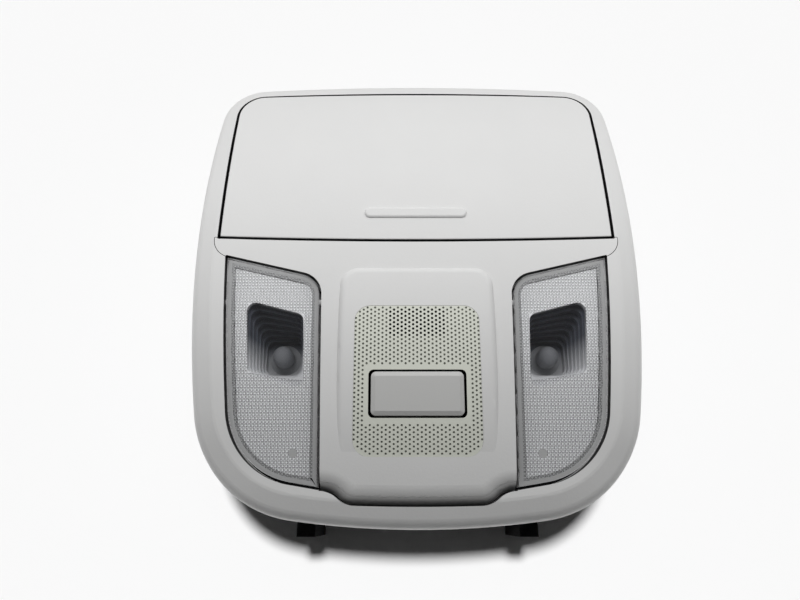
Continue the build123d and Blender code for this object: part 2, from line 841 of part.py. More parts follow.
# Lamp housing: deck under the lamps, tub behind it, two legs that are screwed to the roof
deck_outline = grown(rim, -deck_margin)
well_opening = both_sides(well_outline(reflector_wall + fit))
board_opening_half = board_width / 2 + 2 * fit
board_front_y = plate_centre_y - board_length / 2 - 2 * fit
board_back_y = plate_centre_y + board_length / 2 + 2 * fit
with BuildPart() as lamp_housing:
    with BuildSketch(Plane.XY.offset(deck_z)):
        add(deck_outline)
        with Locations((0, housing_split_y)):
            Rectangle(reach, reach, align=(Align.CENTER, Align.MIN), mode=Mode.SUBTRACT)
    extrude(amount=-deck_wall)
    with BuildSketch(Plane.XY.offset(tub_floor_z)):
        add(grown(lamp_field, -tub_margin))
        with Locations((0, tub_back_y)):
            Rectangle(reach, reach, align=(Align.CENTER, Align.MIN), mode=Mode.SUBTRACT)
    extrude(amount=deck_z - deck_wall - tub_floor_z)
    for side in (-1, 1):
        with BuildSketch(Plane.YZ.offset(side * leg_x)):
            with BuildLine():
                Polyline(
                    (leg_front_y, 0),
                    (leg_back_y, 0),
                    (leg_back_y, deck_z - deck_wall),
                    (leg_riser_y, deck_z - deck_wall),
                    (leg_riser_y, leg_top_z),
                    (leg_front_y, leg_top_z),
                    close=True,
                )
            make_face()
        extrude(amount=leg_width / 2, both=True)
    with BuildSketch(Plane.XY.offset(tub_floor_z + tub_wall)):
        add(grown(lamp_field, -tub_margin - tub_wall))
        with Locations((0, tub_back_y - tub_wall)):
            Rectangle(reach, reach, align=(Align.CENTER, Align.MIN), mode=Mode.SUBTRACT)
    extrude(amount=deck_z - deck_wall - tub_floor_z - tub_wall, mode=Mode.SUBTRACT)
    with BuildSketch(Plane.XY.offset(deck_z)):
        add(well_opening)
        with Locations((0, (board_front_y + board_back_y) / 2)):
            Rectangle(2 * board_opening_half, board_back_y - board_front_y)
        with Locations((button_x, button_y), (-button_x, button_y)):
            Rectangle(push_case_width + 2 * running_fit, push_case_width + 2 * running_fit)
        with Locations(*[(side * x, y) for side in (-1, 1) for x, y in lamp_screws]):
            Circle(screw_radius + fit)
    extrude(amount=-deck_wall, mode=Mode.SUBTRACT)
    with BuildSketch(Plane.XY.offset(tub_floor_z)):
        with Locations(well_centre, (-well_centre[0], well_centre[1])):
            Circle(socket_radius + running_fit)
        with Locations((0, plate_centre_y + header_y)):
            Rectangle(2 * header_width, 2 * header_length)
    extrude(amount=tub_wall, mode=Mode.SUBTRACT)
    with BuildSketch():
        with Locations((leg_x, leg_hole_y), (-leg_x, leg_hole_y)):
            Circle(leg_hole_radius)
    extrude(amount=leg_hole_depth, mode=Mode.SUBTRACT)
    with BuildSketch():
        with Locations((leg_x, leg_pocket_y), (-leg_x, leg_pocket_y)):
            Rectangle(leg_width - 2 * leg_wall, leg_pocket_length)
    extrude(amount=leg_top_z - leg_wall, mode=Mode.SUBTRACT)
lamp_housing.part.label = "lamp_housing"
export_step(lamp_housing.part, "parts/lamp_housing.step")

# Right lens: a clear cap with a skirt, two pivot pins and a rod that works the switch below it
with BuildPart() as lens_hollow:
    with BuildSketch(Plane.XY.offset(deck_z)):
        add(grown(lens_hole, -lens_gap / 2 - lens_skirt))
    extrude(amount=reach)
    add(under_face(lens_wall), mode=Mode.INTERSECT)

inner_pin_x = lens_bottom_inner[0] - lens_gap / 2
outer_pin_x = lens_side_middle[0] + lens_gap / 2 + rim_wall
lens_inner_x = lens_top_inner[0] + lens_gap / 2 + lens_skirt / 2
lens_outer_x = lens_side_middle[0] - lens_gap / 2 - lens_skirt / 2
with BuildPart() as lens:
    with BuildSketch(Plane.XY.offset(deck_z)):
        add(grown(lens_hole, -lens_gap / 2))
    extrude(amount=reach)
    add(under_face(lens_drop), mode=Mode.INTERSECT)
    add(under_face(lens_depth), mode=Mode.SUBTRACT)
    add(lens_hollow.part, mode=Mode.SUBTRACT)
    for start_x, end_x in ((lens_inner_x, inner_pin_x), (lens_outer_x, outer_pin_x)):
        with BuildSketch(Plane.YZ.offset(start_x)):
            with Locations((lens_pivot_y, lens_pivot_z)):
                Circle(lens_pin_radius)
        extrude(amount=end_x - start_x)
    with BuildSketch(Plane.XY.offset(push_rod_z)):
        with Locations((button_x, button_y)):
            Circle(push_rod_radius)
    extrude(amount=face_z(button_y) - lens_wall / 2 - push_rod_z)

# Right reflector: a light plate under the lens, with a deep stepped well round the bulb
well_floor = well_floor_z + reflector_wall
well_mouth_z = face_z(well_centre[1]) - reflector_depth
floor_corners = [(copysign(well_floor_half, x), copysign(well_floor_half, y)) for x, y in well_corners]


def well_block(margin, bottom_z):
    """The well from its mouth down to its floor, step by step, with a margin round it"""
    step_height = (well_mouth_z - well_floor) / well_steps
    with BuildPart() as block:
        for step in range(well_steps):
            share = step / (well_steps - 1)
            corners = [
                (mouth[0] + share * (floor[0] - mouth[0]), mouth[1] + share * (floor[1] - mouth[1]))
                for mouth, floor in zip(well_corners, floor_corners)
            ]
            with BuildSketch(Plane.XY.offset(bottom_z + (well_steps - 1 - step) * step_height)) as outline:
                with Locations(well_centre):
                    Polygon(*corners, align=None)
                fillet(outline.vertices(), well_corner_radius)
                if margin:
                    offset(amount=margin)
            extrude(amount=face_apex_z - bottom_z - (well_steps - 1 - step) * step_height)
    return block.part


reflector_shell = well_block(reflector_wall, well_floor_z)
reflector_space = well_block(0, well_floor)
with BuildPart() as reflector_hollow:
    with BuildSketch(Plane.XY.offset(deck_z)):
        add(grown(lens_hole, -reflector_margin - reflector_wall))
    extrude(amount=reach)
    add(under_face(reflector_depth + reflector_wall), mode=Mode.INTERSECT)

with BuildPart() as reflector:
    with BuildSketch(Plane.XY.offset(deck_z)):
        add(grown(lens_hole, -reflector_margin))
    extrude(amount=reach)
    add(reflector_hollow.part, mode=Mode.SUBTRACT)
    add(reflector_shell)
    add(under_face(reflector_depth), mode=Mode.INTERSECT)
    add(reflector_space, mode=Mode.SUBTRACT)
    with BuildSketch(Plane.XY.offset(well_floor_z)):
        with Locations(well_centre):
            Circle(socket_radius + running_fit)
    extrude(amount=reflector_wall, mode=Mode.SUBTRACT)
    with BuildSketch(Plane.XY.offset(deck_z)):
        with Locations((button_x, button_y)):
            Circle(push_rod_radius + 2 * fit)
    extrude(amount=reach, mode=Mode.SUBTRACT)

# Right bulb: wedge base and round glass
with BuildPart() as bulb:
    with BuildSketch(Plane.XZ.offset(-well_centre[1])):
        with BuildLine():
            Polyline(
                (well_centre[0], bulb_base_z),
                (well_centre[0] + bulb_base_radius, bulb_base_z),
                (well_centre[0] + bulb_base_radius, bulb_shoulder_z),
                (well_centre[0] + bulb_radius, bulb_shoulder_z + bulb_radius - bulb_base_radius),
                (well_centre[0] + bulb_radius, bulb_top_z - bulb_radius),
            )
            RadiusArc(
                (well_centre[0] + bulb_radius, bulb_top_z - bulb_radius),
                (well_centre[0], bulb_top_z),
                -bulb_radius,
            )
            Line((well_centre[0], bulb_top_z), (well_centre[0], bulb_base_z))
        make_face()
    revolve(axis=Axis((well_centre[0], well_centre[1], 0), (0, 0, 1)))

# Right bulb socket: twists into the tub floor from behind
with BuildPart() as bulb_socket:
    with BuildSketch(Plane.XY.offset(tub_floor_z - socket_flange)):
        with Locations(well_centre):
            Circle(socket_flange_radius)
    extrude(amount=socket_flange)
    with BuildSketch(Plane.XY.offset(tub_floor_z)):
        with Locations(well_centre):
            Circle(socket_radius)
    extrude(amount=well_floor - tub_floor_z)
    with BuildSketch(Plane.XY.offset(tub_floor_z - socket_flange)):
        with Locations(well_centre):
            Rectangle(2 * socket_radius, socket_grip_width)
    extrude(amount=socket_grip_z - tub_floor_z + socket_flange)
    with BuildSketch(Plane.XY.offset(bulb_base_z)):
        with Locations(well_centre):
            Circle(bulb_base_radius + running_fit)
    extrude(amount=well_floor - bulb_base_z, mode=Mode.SUBTRACT)

# Right push switch: sits in the deck, takes the lens's rod
with BuildPart() as push_switch:
    with BuildSketch(Plane.XY.offset(deck_z)):
        with Locations((button_x, button_y)):
            Rectangle(push_case_width, push_case_width)
    extrude(amount=-push_case_depth)
    with BuildSketch(Plane.XY.offset(deck_z)):
        with Locations((button_x, button_y)):
            Rectangle(push_flange_width, push_flange_width)
    extrude(amount=push_flange)
    with BuildSketch(Plane.XY.offset(deck_z + push_flange)):
        with Locations((button_x, button_y)):
            Circle(push_hole_radius)
    extrude(amount=-push_hole_depth, mode=Mode.SUBTRACT)

# The lamp pieces come in pairs
pairs = {
    "lens": lens,
    "reflector": reflector,
    "bulb": bulb,
    "bulb_socket": bulb_socket,
    "push_switch": push_switch,
}
for name, piece in pairs.items():
    with BuildPart() as left_piece:
        mirror(piece.part, about=Plane.YZ)
    piece.part.label = name + "_right"
    export_step(piece.part, "parts/" + name + "_right.step")
    left_piece.part.label = name + "_left"
    export_step(left_piece.part, "parts/" + name + "_left.step")

# Bin housing: deep tray behind the lid, with hinge posts and a seat for the damper
with BuildPart() as bin_housing:
    with BuildSketch():
        add(grown(lid_hole, bin_margin + bin_wall))
    extrude(amount=deck_z)
    with BuildSketch(Plane.XY.offset(deck_z)):
        add(deck_outline)
        with Locations((0, housing_split_y + fit)):
            Rectangle(reach, reach, align=(Align.CENTER, Align.MAX), mode=Mode.SUBTRACT)
    extrude(amount=-deck_wall)
    with BuildSketch(Plane.XY.offset(bin_floor)):
        add(grown(lid_hole, bin_margin))
    extrude(amount=reach, mode=Mode.SUBTRACT)
    for side in (-1, 1):
        with BuildSketch(Plane.YZ.offset(side * hinge_post_x)):
            with Locations((hinge_y, hinge_z)):
                Circle(hinge_ear_radius)
                Rectangle(2 * hinge_ear_radius, hinge_z, align=(Align.CENTER, Align.MAX))
        extrude(amount=side * hinge_post_wall)
    with BuildSketch(Plane.YZ):
        with Locations((hinge_y, hinge_z)):
            Circle(hinge_pin_radius + running_fit)
    extrude(amount=hinge_post_x + hinge_post_wall, both=True, mode=Mode.SUBTRACT)
    with BuildSketch(Plane.YZ.offset(-damper_face_x)):
        with Locations((damper_y, damper_z)):
            Circle(damper_flange_radius)
    extrude(amount=damper_face_x - damper_inner_x)
    with BuildSketch(Plane.YZ.offset(-damper_face_x)):
        with Locations((damper_y, damper_z)):
            Circle(damper_radius + running_fit)
    extrude(amount=damper_face_x - damper_inner_x, mode=Mode.SUBTRACT)
    with BuildSketch(Plane.XY.offset(deck_z)):
        with Locations(*[(side * x, y) for side in (-1, 1) for x, y in bin_screws]):
            Circle(screw_radius + fit)
    extrude(amount=-deck_wall, mode=Mode.SUBTRACT)
    clip_wall_y = lid_back_y + bin_margin + bin_wall
    with BuildSketch(Plane.XY.offset(clip_post_bottom_z)):
        with Locations((clip_x, clip_wall_y), (-clip_x, clip_wall_y)):
            Rectangle(clip_width, 2 * clip_post_length)
        add(grown(lid_hole, bin_margin), mode=Mode.SUBTRACT)
    extrude(amount=clip_post_top_z - clip_post_bottom_z)
bin_housing.part.label = "bin_housing"
export_step(bin_housing.part, "parts/bin_housing.step")

# Housing screws, from behind into the bosses of the bezel
with BuildPart() as housing_screws:
    with BuildSketch(Plane.XY.offset(deck_z - deck_wall)):
        with Locations(*screw_places):
            Circle(screw_head_radius)
    extrude(amount=-screw_head_height)
    with BuildSketch(Plane.XY.offset(deck_z - deck_wall)):
        with Locations(*screw_places):
            Circle(screw_radius)
    extrude(amount=screw_length)
housing_screws.part.label = "housing_screws"
export_step(housing_screws.part, "parts/housing_screws.step")

# Lid panel with its push bar
with BuildPart() as lid_panel:
    with BuildSketch(Plane.XY.offset(rim_base_z)):
        add(grown(lid_hole, -lid_gap / 2))
    extrude(amount=reach)
    add(face_block, mode=Mode.INTERSECT)
    fillet(lid_panel.faces().sort_by(Axis.Z)[-1].edges(), lid_edge_radius)
    add(under_face(lid_wall), mode=Mode.SUBTRACT)
with BuildPart() as push_bar:
    with BuildSketch(Plane.XY.offset(rim_base_z)):
        with Locations((0, push_bar_y)):
            SlotOverall(push_bar_length, push_bar_width)
    extrude(amount=reach)
    add(under_face(-push_bar_rise), mode=Mode.INTERSECT)
    fillet(push_bar.faces().sort_by(Axis.Z)[-1].edges(), push_bar_rise)
    add(under_face(lid_wall / 2), mode=Mode.SUBTRACT)
with BuildPart() as lid_with_bar:
    add(lid_panel.part)
    add(push_bar.part)
lid_with_bar.part.label = "lid_panel"
export_step(lid_with_bar.part, "parts/lid_panel.step")

# Lid tray: the cradle behind the lid, its front wall curved about the hinge
tray_top_z = face_apex_z
tray_inner_radius = tray_front_radius - tray_wall


def on_front(radius, z):
    """Point on a curve about the hinge, at a height"""
    return (hinge_y - sqrt(radius**2 - (z - hinge_z) ** 2), z)


with BuildPart() as tray_hollow:
    with BuildSketch(Plane.YZ):
        with BuildLine():
            ThreePointArc(
                on_front(tray_inner_radius, tray_top_z),
                on_front(tray_inner_radius, hinge_z),
                on_front(tray_inner_radius, 0),
            )
            Polyline(
                on_front(tray_inner_radius, 0),
                (tray_back_y - tray_wall, 0),
                (tray_back_y - tray_wall, tray_top_z),
                on_front(tray_inner_radius, tray_top_z),
            )
        make_face()
        with Locations((tray_back_y, 0)):
            Rectangle(rim_back_y, tray_top_z, align=(Align.MIN, Align.MIN))
    extrude(amount=tray_half_width - tray_wall, both=True)
    add(under_face(lid_wall + tray_floor), mode=Mode.INTERSECT)

tray_end_y = hinge_y + 1.5 * tray_boss_radius
tray_front_y = on_front(tray_front_radius, tray_bottom_z)[0]
sector_root = gear_module * (sector_teeth / 2 - tooth_dedendum)
tooth_step = 360 / sector_teeth
first_tooth = mesh_angle - 1.5 * tooth_step
sector_angle = (sector_cut_teeth - 1) * tooth_step
sector_start = first_tooth - tooth_step / 2
sector_end = first_tooth + sector_angle + tooth_step / 2
with BuildPart() as lid_tray:
    with BuildSketch(Plane.YZ):
        with BuildLine():
            ThreePointArc(
                on_front(tray_front_radius, tray_top_z),
                on_front(tray_front_radius, hinge_z),
                on_front(tray_front_radius, tray_bottom_z),
            )
            Polyline(
                on_front(tray_front_radius, tray_bottom_z),
                (tray_level_y, tray_bottom_z),
                (hinge_y, hinge_z - tray_boss_radius),
                (tray_end_y, hinge_z),
                (tray_end_y, tray_top_z),
                on_front(tray_front_radius, tray_top_z),
            )
        make_face()
    extrude(amount=tray_half_width, both=True)
    add(tray_hollow.part, mode=Mode.SUBTRACT)
    with BuildSketch(Plane.XY.offset(striker_bottom_z)):
        with Locations((0, tray_front_y)):
            Rectangle(striker_width, tray_wall, align=(Align.CENTER, Align.MIN))
    extrude(amount=tray_bottom_z + tray_wall - striker_bottom_z)
    with BuildSketch(Plane.YZ.offset(-tray_half_width)):
        with Locations((hinge_y, hinge_z)):
            Circle(tray_boss_radius)
            with BuildLine():
                rim_arc = CenterArc((hinge_y, hinge_z), sector_root, sector_start, sector_end - sector_start)
                Polyline(rim_arc @ 1, (hinge_y, hinge_z), rim_arc @ 0)
            make_face()
            with PolarLocations(0, sector_cut_teeth, first_tooth, sector_angle, endpoint=True):
                add(gear_tooth(sector_teeth))
    extrude(amount=-sector_width)
    add(under_face(lid_wall), mode=Mode.INTERSECT)
    with BuildSketch(Plane.YZ):
        with Locations((hinge_y, hinge_z)):
            Circle(hinge_pin_radius + running_fit)
    extrude(amount=reach, both=True, mode=Mode.SUBTRACT)
lid_tray.part.label = "lid_tray"
export_step(lid_tray.part, "parts/lid_tray.step")

# Soft pad on the tray floor
pad_near_y = on_front(tray_inner_radius, face_apex_z - lid_wall - tray_floor)[0] + tray_pad_margin
pad_far_y = tray_back_y - tray_wall - tray_pad_margin
pad_reach = tray_half_width - tray_wall - tray_pad_margin
with BuildPart() as tray_pad:
    with BuildSketch(Plane.XY.offset(deck_z)):
        with Locations((0, (pad_near_y + pad_far_y) / 2)):
            RectangleRounded(2 * pad_reach, pad_far_y - pad_near_y, tray_pad_margin)
    extrude(amount=reach)
    add(under_face(lid_wall + tray_floor), mode=Mode.INTERSECT)
    add(under_face(lid_wall + tray_floor + tray_pad_wall), mode=Mode.SUBTRACT)
tray_pad.part.label = "tray_pad"
export_step(tray_pad.part, "parts/tray_pad.step")

# Hinge pins, fixed in the posts of the bin housing
hinge_pin_inner_x = tray_half_width - tray_wall + fit
with BuildPart() as hinge_pins:
    for side in (-1, 1):
        with BuildSketch(Plane.YZ.offset(side * hinge_pin_inner_x)):
            with Locations((hinge_y, hinge_z)):
                Circle(hinge_pin_radius)
        extrude(amount=side * (hinge_post_x + hinge_post_wall - hinge_pin_inner_x))
hinge_pins.part.label = "hinge_pins"
export_step(hinge_pins.part, "parts/hinge_pins.step")

# Coil spring round the right hinge pin
spring_radius = hinge_pin_radius + fit + spring_wire / 2
spring_start_x = tray_half_width + fit + spring_wire / 2
with BuildPart() as lid_spring:
    with BuildLine():
        coil = Helix(
            spring_pitch,
            spring_pitch * spring_turns,
            spring_radius,
            center=(spring_start_x, hinge_y, hinge_z),
            direction=(1, 0, 0),
        )
    with BuildSketch(Plane(coil @ 0, z_dir=coil % 0)):
        Circle(spring_wire / 2)
    sweep(is_frenet=True)
lid_spring.part.label = "lid_spring"
export_step(lid_spring.part, "parts/lid_spring.step")

# Rotary damper: can in the wall of the bin housing, pinion in mesh with the lid's sector
pinion_start_x = tray_half_width + fit
pinion_root = gear_module * (pinion_teeth / 2 - tooth_dedendum)
pinion_tooth = mesh_angle - 180
shaft_end_x = damper_face_x - damper_cap
with BuildPart() as damper_body:
    with BuildSketch(Plane.YZ.offset(-damper_inner_x)):
        with Locations((damper_y, damper_z)):
            Circle(damper_radius)
    extrude(amount=damper_inner_x - damper_face_x)
    with BuildSketch(Plane.YZ.offset(-damper_face_x)):
        with Locations((damper_y, damper_z)):
            Circle(damper_flange_radius)
    extrude(amount=-damper_flange)
    with BuildSketch(Plane.YZ.offset(-damper_inner_x)):
        with Locations((damper_y, damper_z)):
            Circle(damper_shaft_radius + running_fit)
    extrude(amount=damper_inner_x - shaft_end_x - fit, mode=Mode.SUBTRACT)
damper_body.part.label = "damper_body"
export_step(damper_body.part, "parts/damper_body.step")

with BuildPart() as damper_pinion:
    with BuildSketch(Plane.YZ.offset(-pinion_start_x)):
        with Locations((damper_y, damper_z)):
            Circle(pinion_root)
            with PolarLocations(0, pinion_teeth, pinion_tooth):
                add(gear_tooth(pinion_teeth))
    extrude(amount=-pinion_width)
    with BuildSketch(Plane.YZ.offset(-pinion_start_x)):
        with Locations((damper_y, damper_z)):
            Circle(damper_shaft_radius)
    extrude(amount=pinion_start_x - shaft_end_x)
damper_pinion.part.label = "damper_pinion"
export_step(damper_pinion.part, "parts/damper_pinion.step")

# Push latch on the bin floor, takes the striker of the tray
latch_front_y = lid_front_y - bin_margin + fit
with BuildPart() as push_latch:
    with BuildSketch(Plane.XY.offset(bin_floor)):
        with Locations((0, latch_front_y)):
            Rectangle(latch_width, latch_length, align=(Align.CENTER, Align.MIN))
    extrude(amount=latch_top_z - bin_floor)
    with BuildSketch(Plane.XY.offset(latch_top_z)):
        with Locations((0, tray_front_y - latch_pocket_length / 2)):
            Rectangle(latch_pocket_width, latch_pocket_length, align=(Align.CENTER, Align.MIN))
    extrude(amount=-latch_pocket_depth, mode=Mode.SUBTRACT)
push_latch.part.label = "push_latch"
export_step(push_latch.part, "parts/push_latch.step")

# Spring-steel clips that hold the lid end to the roof
clip_start_y = clip_wall_y + fit
clip_end_y = clip_wall_y + clip_post_length + running_fit + clip_steel
clip_half_width = clip_width / 2 + running_fit + clip_steel
clip_middle_z = (clip_post_bottom_z + clip_post_top_z) / 2
with BuildPart() as mounting_clips:
    for side in (-1, 1):
        with BuildSketch(Plane.XY.offset(clip_post_bottom_z + clip_steel)):
            with Locations((side * clip_x, clip_start_y)):
                Rectangle(2 * clip_half_width, clip_end_y - clip_start_y, align=(Align.CENTER, Align.MIN))
                Rectangle(
                    clip_width + 2 * running_fit,
                    clip_end_y - clip_start_y - clip_steel,
                    align=(Align.CENTER, Align.MIN),
                    mode=Mode.SUBTRACT,
                )
        extrude(amount=clip_post_top_z - clip_post_bottom_z - 2 * clip_steel)
        with BuildSketch(Plane.XZ.offset(-clip_end_y)):
            for edge in (-1, 1):
                edge_x = side * clip_x + edge * clip_half_width
                Polygon(
                    (edge_x, clip_post_bottom_z + 2 * clip_steel),
                    (edge_x + edge * clip_hook, clip_middle_z),
                    (edge_x, clip_post_top_z - 2 * clip_steel),
                    align=None,
                )
        extrude(amount=clip_end_y - clip_start_y)
mounting_clips.part.label = "mounting_clips"
export_step(mounting_clips.part, "parts/mounting_clips.step")
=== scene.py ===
import json
import math

import bpy
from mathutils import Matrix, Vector


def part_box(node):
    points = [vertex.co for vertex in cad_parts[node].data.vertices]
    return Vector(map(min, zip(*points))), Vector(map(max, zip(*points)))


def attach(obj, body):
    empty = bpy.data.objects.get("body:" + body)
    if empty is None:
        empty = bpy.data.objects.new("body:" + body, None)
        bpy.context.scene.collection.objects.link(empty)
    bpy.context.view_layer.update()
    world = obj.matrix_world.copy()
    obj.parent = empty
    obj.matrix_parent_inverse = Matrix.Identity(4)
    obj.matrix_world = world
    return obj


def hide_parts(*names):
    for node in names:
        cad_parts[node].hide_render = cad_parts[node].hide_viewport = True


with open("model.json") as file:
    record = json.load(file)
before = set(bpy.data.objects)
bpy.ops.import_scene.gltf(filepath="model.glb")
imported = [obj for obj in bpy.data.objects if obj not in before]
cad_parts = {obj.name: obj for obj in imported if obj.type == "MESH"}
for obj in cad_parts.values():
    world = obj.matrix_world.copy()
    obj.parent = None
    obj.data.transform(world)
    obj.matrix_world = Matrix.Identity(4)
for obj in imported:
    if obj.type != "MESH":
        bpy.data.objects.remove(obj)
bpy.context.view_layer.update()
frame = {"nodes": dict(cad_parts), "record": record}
nodes = frame["nodes"]
mm = 0.001
print("frame loaded:", len(nodes), "nodes")

# crowns of the face and of the switch pad along the console, in millimetres
faceArch = {"apexY": -4.4, "apexZ": 60.0, "radius": 900.0}
padArch = {"apexY": -19.9, "apexZ": 61.8, "radius": 372.0}


def archHeight(arch, y):
    reach = math.sqrt(arch["radius"] ** 2 - (y - arch["apexY"]) ** 2)
    return arch["apexZ"] - arch["radius"] + reach


# tools for node trees

def feed(tree, socket, value):
    if isinstance(value, bpy.types.NodeSocket):
        tree.links.new(value, socket)
    else:
        socket.default_value = value


def mathNode(tree, operation, *values):
    node = tree.nodes.new("ShaderNodeMath")
    node.operation = operation
    for socket, value in zip(node.inputs, values):
        feed(tree, socket, value)
    return node.outputs[0]


def vectorNode(tree, operation, *values):
    node = tree.nodes.new("ShaderNodeVectorMath")
    node.operation = operation
    for socket, value in zip(node.inputs, values):
        feed(tree, socket, value)
    return node


def noiseNode(tree, vector, scale, detail=2.0, roughness=0.5):
    node = tree.nodes.new("ShaderNodeTexNoise")
    for socketName, value in (("Vector", vector), ("Scale", scale), ("Detail", detail),
                              ("Roughness", roughness)):
        feed(tree, node.inputs[socketName], value)
    return node.outputs["Fac"]


def spread(tree, value, fromMin, fromMax, toMin, toMax):
    node = tree.nodes.new("ShaderNodeMapRange")
    for socketName, amount in (("Value", value), ("From Min", fromMin), ("From Max", fromMax),
                               ("To Min", toMin), ("To Max", toMax)):
        feed(tree, node.inputs[socketName], amount)
    return node.outputs["Result"]


# camera

camera = {
    "place": (-7.55, -107.5, 316.0),   # millimetres in the part's frame
    "elevation": 70.0,                 # degrees above the table
    "lens": 27.0,
    "sensor": 36.0,
    "clip": (0.01, 20.0),              # metres
}
cameraData = bpy.data.cameras.new("camera")
cameraData.lens = camera["lens"]
cameraData.sensor_width = camera["sensor"]
cameraData.clip_start, cameraData.clip_end = camera["clip"]
cameraObject = bpy.data.objects.new("camera", cameraData)
cameraObject.location = [v * mm for v in camera["place"]]
cameraObject.rotation_euler = (math.radians(90 - camera["elevation"]), 0, 0)
bpy.context.scene.collection.objects.link(cameraObject)
bpy.context.scene.camera = cameraObject
bpy.context.scene.view_settings.view_transform = "Standard"


# studio: a strip light over the lid, a soft window behind, and a lamp of its own for the table

studio = {
    "tableSize": 6.0, "tableColour": (0.93, 0.93, 0.93, 1), "tableRoughness": 0.7,
    "ambient": 0.04,   # level that matt surfaces get from all round
    "mirrored": {"from": (0.34, 0.50), "level": (0.12, 1.0)},   # what gloss mirrors: dim front, bright back
    "strip": {   # metres and watts
        "place": (0, 0.09, 0.29), "aim": (0, 0.06, 0.05), "size": (0.9, 0.08), "power": 1.31,
    },
    "suns": {   # the side that each comes from, its soft edge in degrees, its strength, what it lights
        "window": {"side": (0, 0.906, 0.423), "softness": 40, "power": 0.4, "lights": "part"},
        "tableLamp": {"side": (0, 0.27, 0.96), "softness": 8, "power": 3.2, "lights": "table"},
    },
}


def deselectAll():
    bpy.ops.object.select_all(action="DESELECT")


deselectAll()
bpy.ops.mesh.primitive_plane_add(size=studio["tableSize"], location=(0, 0, 0))
table = bpy.context.object
table.name = "table"
tableMaterial = bpy.data.materials.new("paleTable")
tableMaterial.use_nodes = True
tableShader = tableMaterial.node_tree.nodes["Principled BSDF"]
tableShader.inputs["Base Color"].default_value = studio["tableColour"]
tableShader.inputs["Roughness"].default_value = studio["tableRoughness"]
tableShader.inputs["Specular IOR Level"].default_value = 0.0
table.data.materials.append(tableMaterial)


def hangLight(name, data, place, outward, lights):
    light = bpy.data.objects.new(name, data)
    light.location = place
    light.rotation_euler = Vector(outward).to_track_quat("Z", "Y").to_euler()
    light.visible_camera = False    # nothing shows or mirrors the lamps
    light.visible_glossy = light.visible_transmission = False
    bpy.context.scene.collection.objects.link(light)
    receivers = bpy.data.collections.new(name + "Receivers")
    receivers.objects.link(table)
    receivers.collection_objects[0].light_linking.link_state = "INCLUDE" if lights == "table" else "EXCLUDE"
    light.light_linking.receiver_collection = receivers


strip = studio["strip"]
stripData = bpy.data.lights.new("strip", "AREA")
stripData.shape = "RECTANGLE"
stripData.size, stripData.size_y = strip["size"]
stripData.energy = strip["power"]
hangLight("strip", stripData, strip["place"], Vector(strip["place"]) - Vector(strip["aim"]), "part")
for sunName, sun in studio["suns"].items():
    sunData = bpy.data.lights.new(sunName, "SUN")
    sunData.angle = math.radians(sun["softness"])
    sunData.energy = sun["power"]
    hangLight(sunName, sunData, sun["side"], sun["side"], sun["lights"])

world = bpy.data.worlds.new("studio")
bpy.context.scene.world = world
world.use_nodes = True
worldTree = world.node_tree
background = worldTree.nodes["Background"]
background.inputs["Color"].default_value = (1, 1, 1, 1)

# the camera sees white, gloss and the lenses mirror a room that is bright behind,
# and matt surfaces get the ambient light
direction = worldTree.nodes.new("ShaderNodeSeparateXYZ")
worldTree.links.new(worldTree.nodes.new("ShaderNodeTexCoord").outputs["Generated"], direction.inputs[0])
room = spread(worldTree, direction.outputs["Y"], *studio["mirrored"]["from"], *studio["mirrored"]["level"])
ray = worldTree.nodes.new("ShaderNodeLightPath").outputs
glossy = mathNode(worldTree, "MAXIMUM", ray["Is Glossy Ray"], ray["Is Transmission Ray"])
unscattered = mathNode(worldTree, "LESS_THAN", ray["Diffuse Depth"], 0.5)   # before any matt bounce
mirrored = mathNode(worldTree, "MULTIPLY", mathNode(worldTree, "MULTIPLY", glossy, unscattered), room)
unseen = mathNode(worldTree, "MAXIMUM", mirrored, studio["ambient"])
level = mathNode(worldTree, "MAXIMUM", unseen, ray["Is Camera Ray"])
worldTree.links.new(level, background.inputs["Strength"])
print("camera and studio ready")


# shared finishes, each a node group

shared = {
    "noiseMiddle": 0.5,                           # level that a noise swings round
    "fineScale": 2.3, "fineDetail": 3.0,          # finer noise over the pebbles of the grain
    "cloudDetail": 3.0, "cloudRoughness": 0.6,    # slow change of tone
    "streakTurn": (0.2, 0.1, 0.6), "streakStretch": (1.0, 9.0, 3.0),   # rubbed marks
    "rubDetail": 4.0, "rubRoughness": 0.65, "rubFrom": (0.60, 0.78),
    "driftScale": 28.0, "touchScale": 60.0,       # patches on a moulding, per metre
    "bumpStrength": 0.5,
}


def newGroup(name, inputs, outputs):
    group = bpy.data.node_groups.new(name, "ShaderNodeTree")
    for socketName, kind in inputs:
        group.interface.new_socket(name=socketName, in_out="INPUT", socket_type=kind)
    for socketName, kind in outputs:
        group.interface.new_socket(name=socketName, in_out="OUTPUT", socket_type=kind)
    return group, group.nodes.new("NodeGroupInput"), group.nodes.new("NodeGroupOutput")


# spark-eroded grain of a mould: small pebbles with finer noise over them
mouldGrain, grainIn, grainOut = newGroup(
    "mouldGrain", [("Vector", "NodeSocketVector"), ("Scale", "NodeSocketFloat")],
    [("Height", "NodeSocketFloat")])
pebbles = mouldGrain.nodes.new("ShaderNodeTexVoronoi")
pebbles.feature = "SMOOTH_F1"
mouldGrain.links.new(grainIn.outputs["Vector"], pebbles.inputs["Vector"])
mouldGrain.links.new(grainIn.outputs["Scale"], pebbles.inputs["Scale"])
fine = noiseNode(mouldGrain, grainIn.outputs["Vector"],
                 mathNode(mouldGrain, "MULTIPLY", grainIn.outputs["Scale"], shared["fineScale"]),
                 shared["fineDetail"])
mouldGrain.links.new(mathNode(mouldGrain, "ADD", pebbles.outputs["Distance"], fine),
                     grainOut.inputs["Height"])

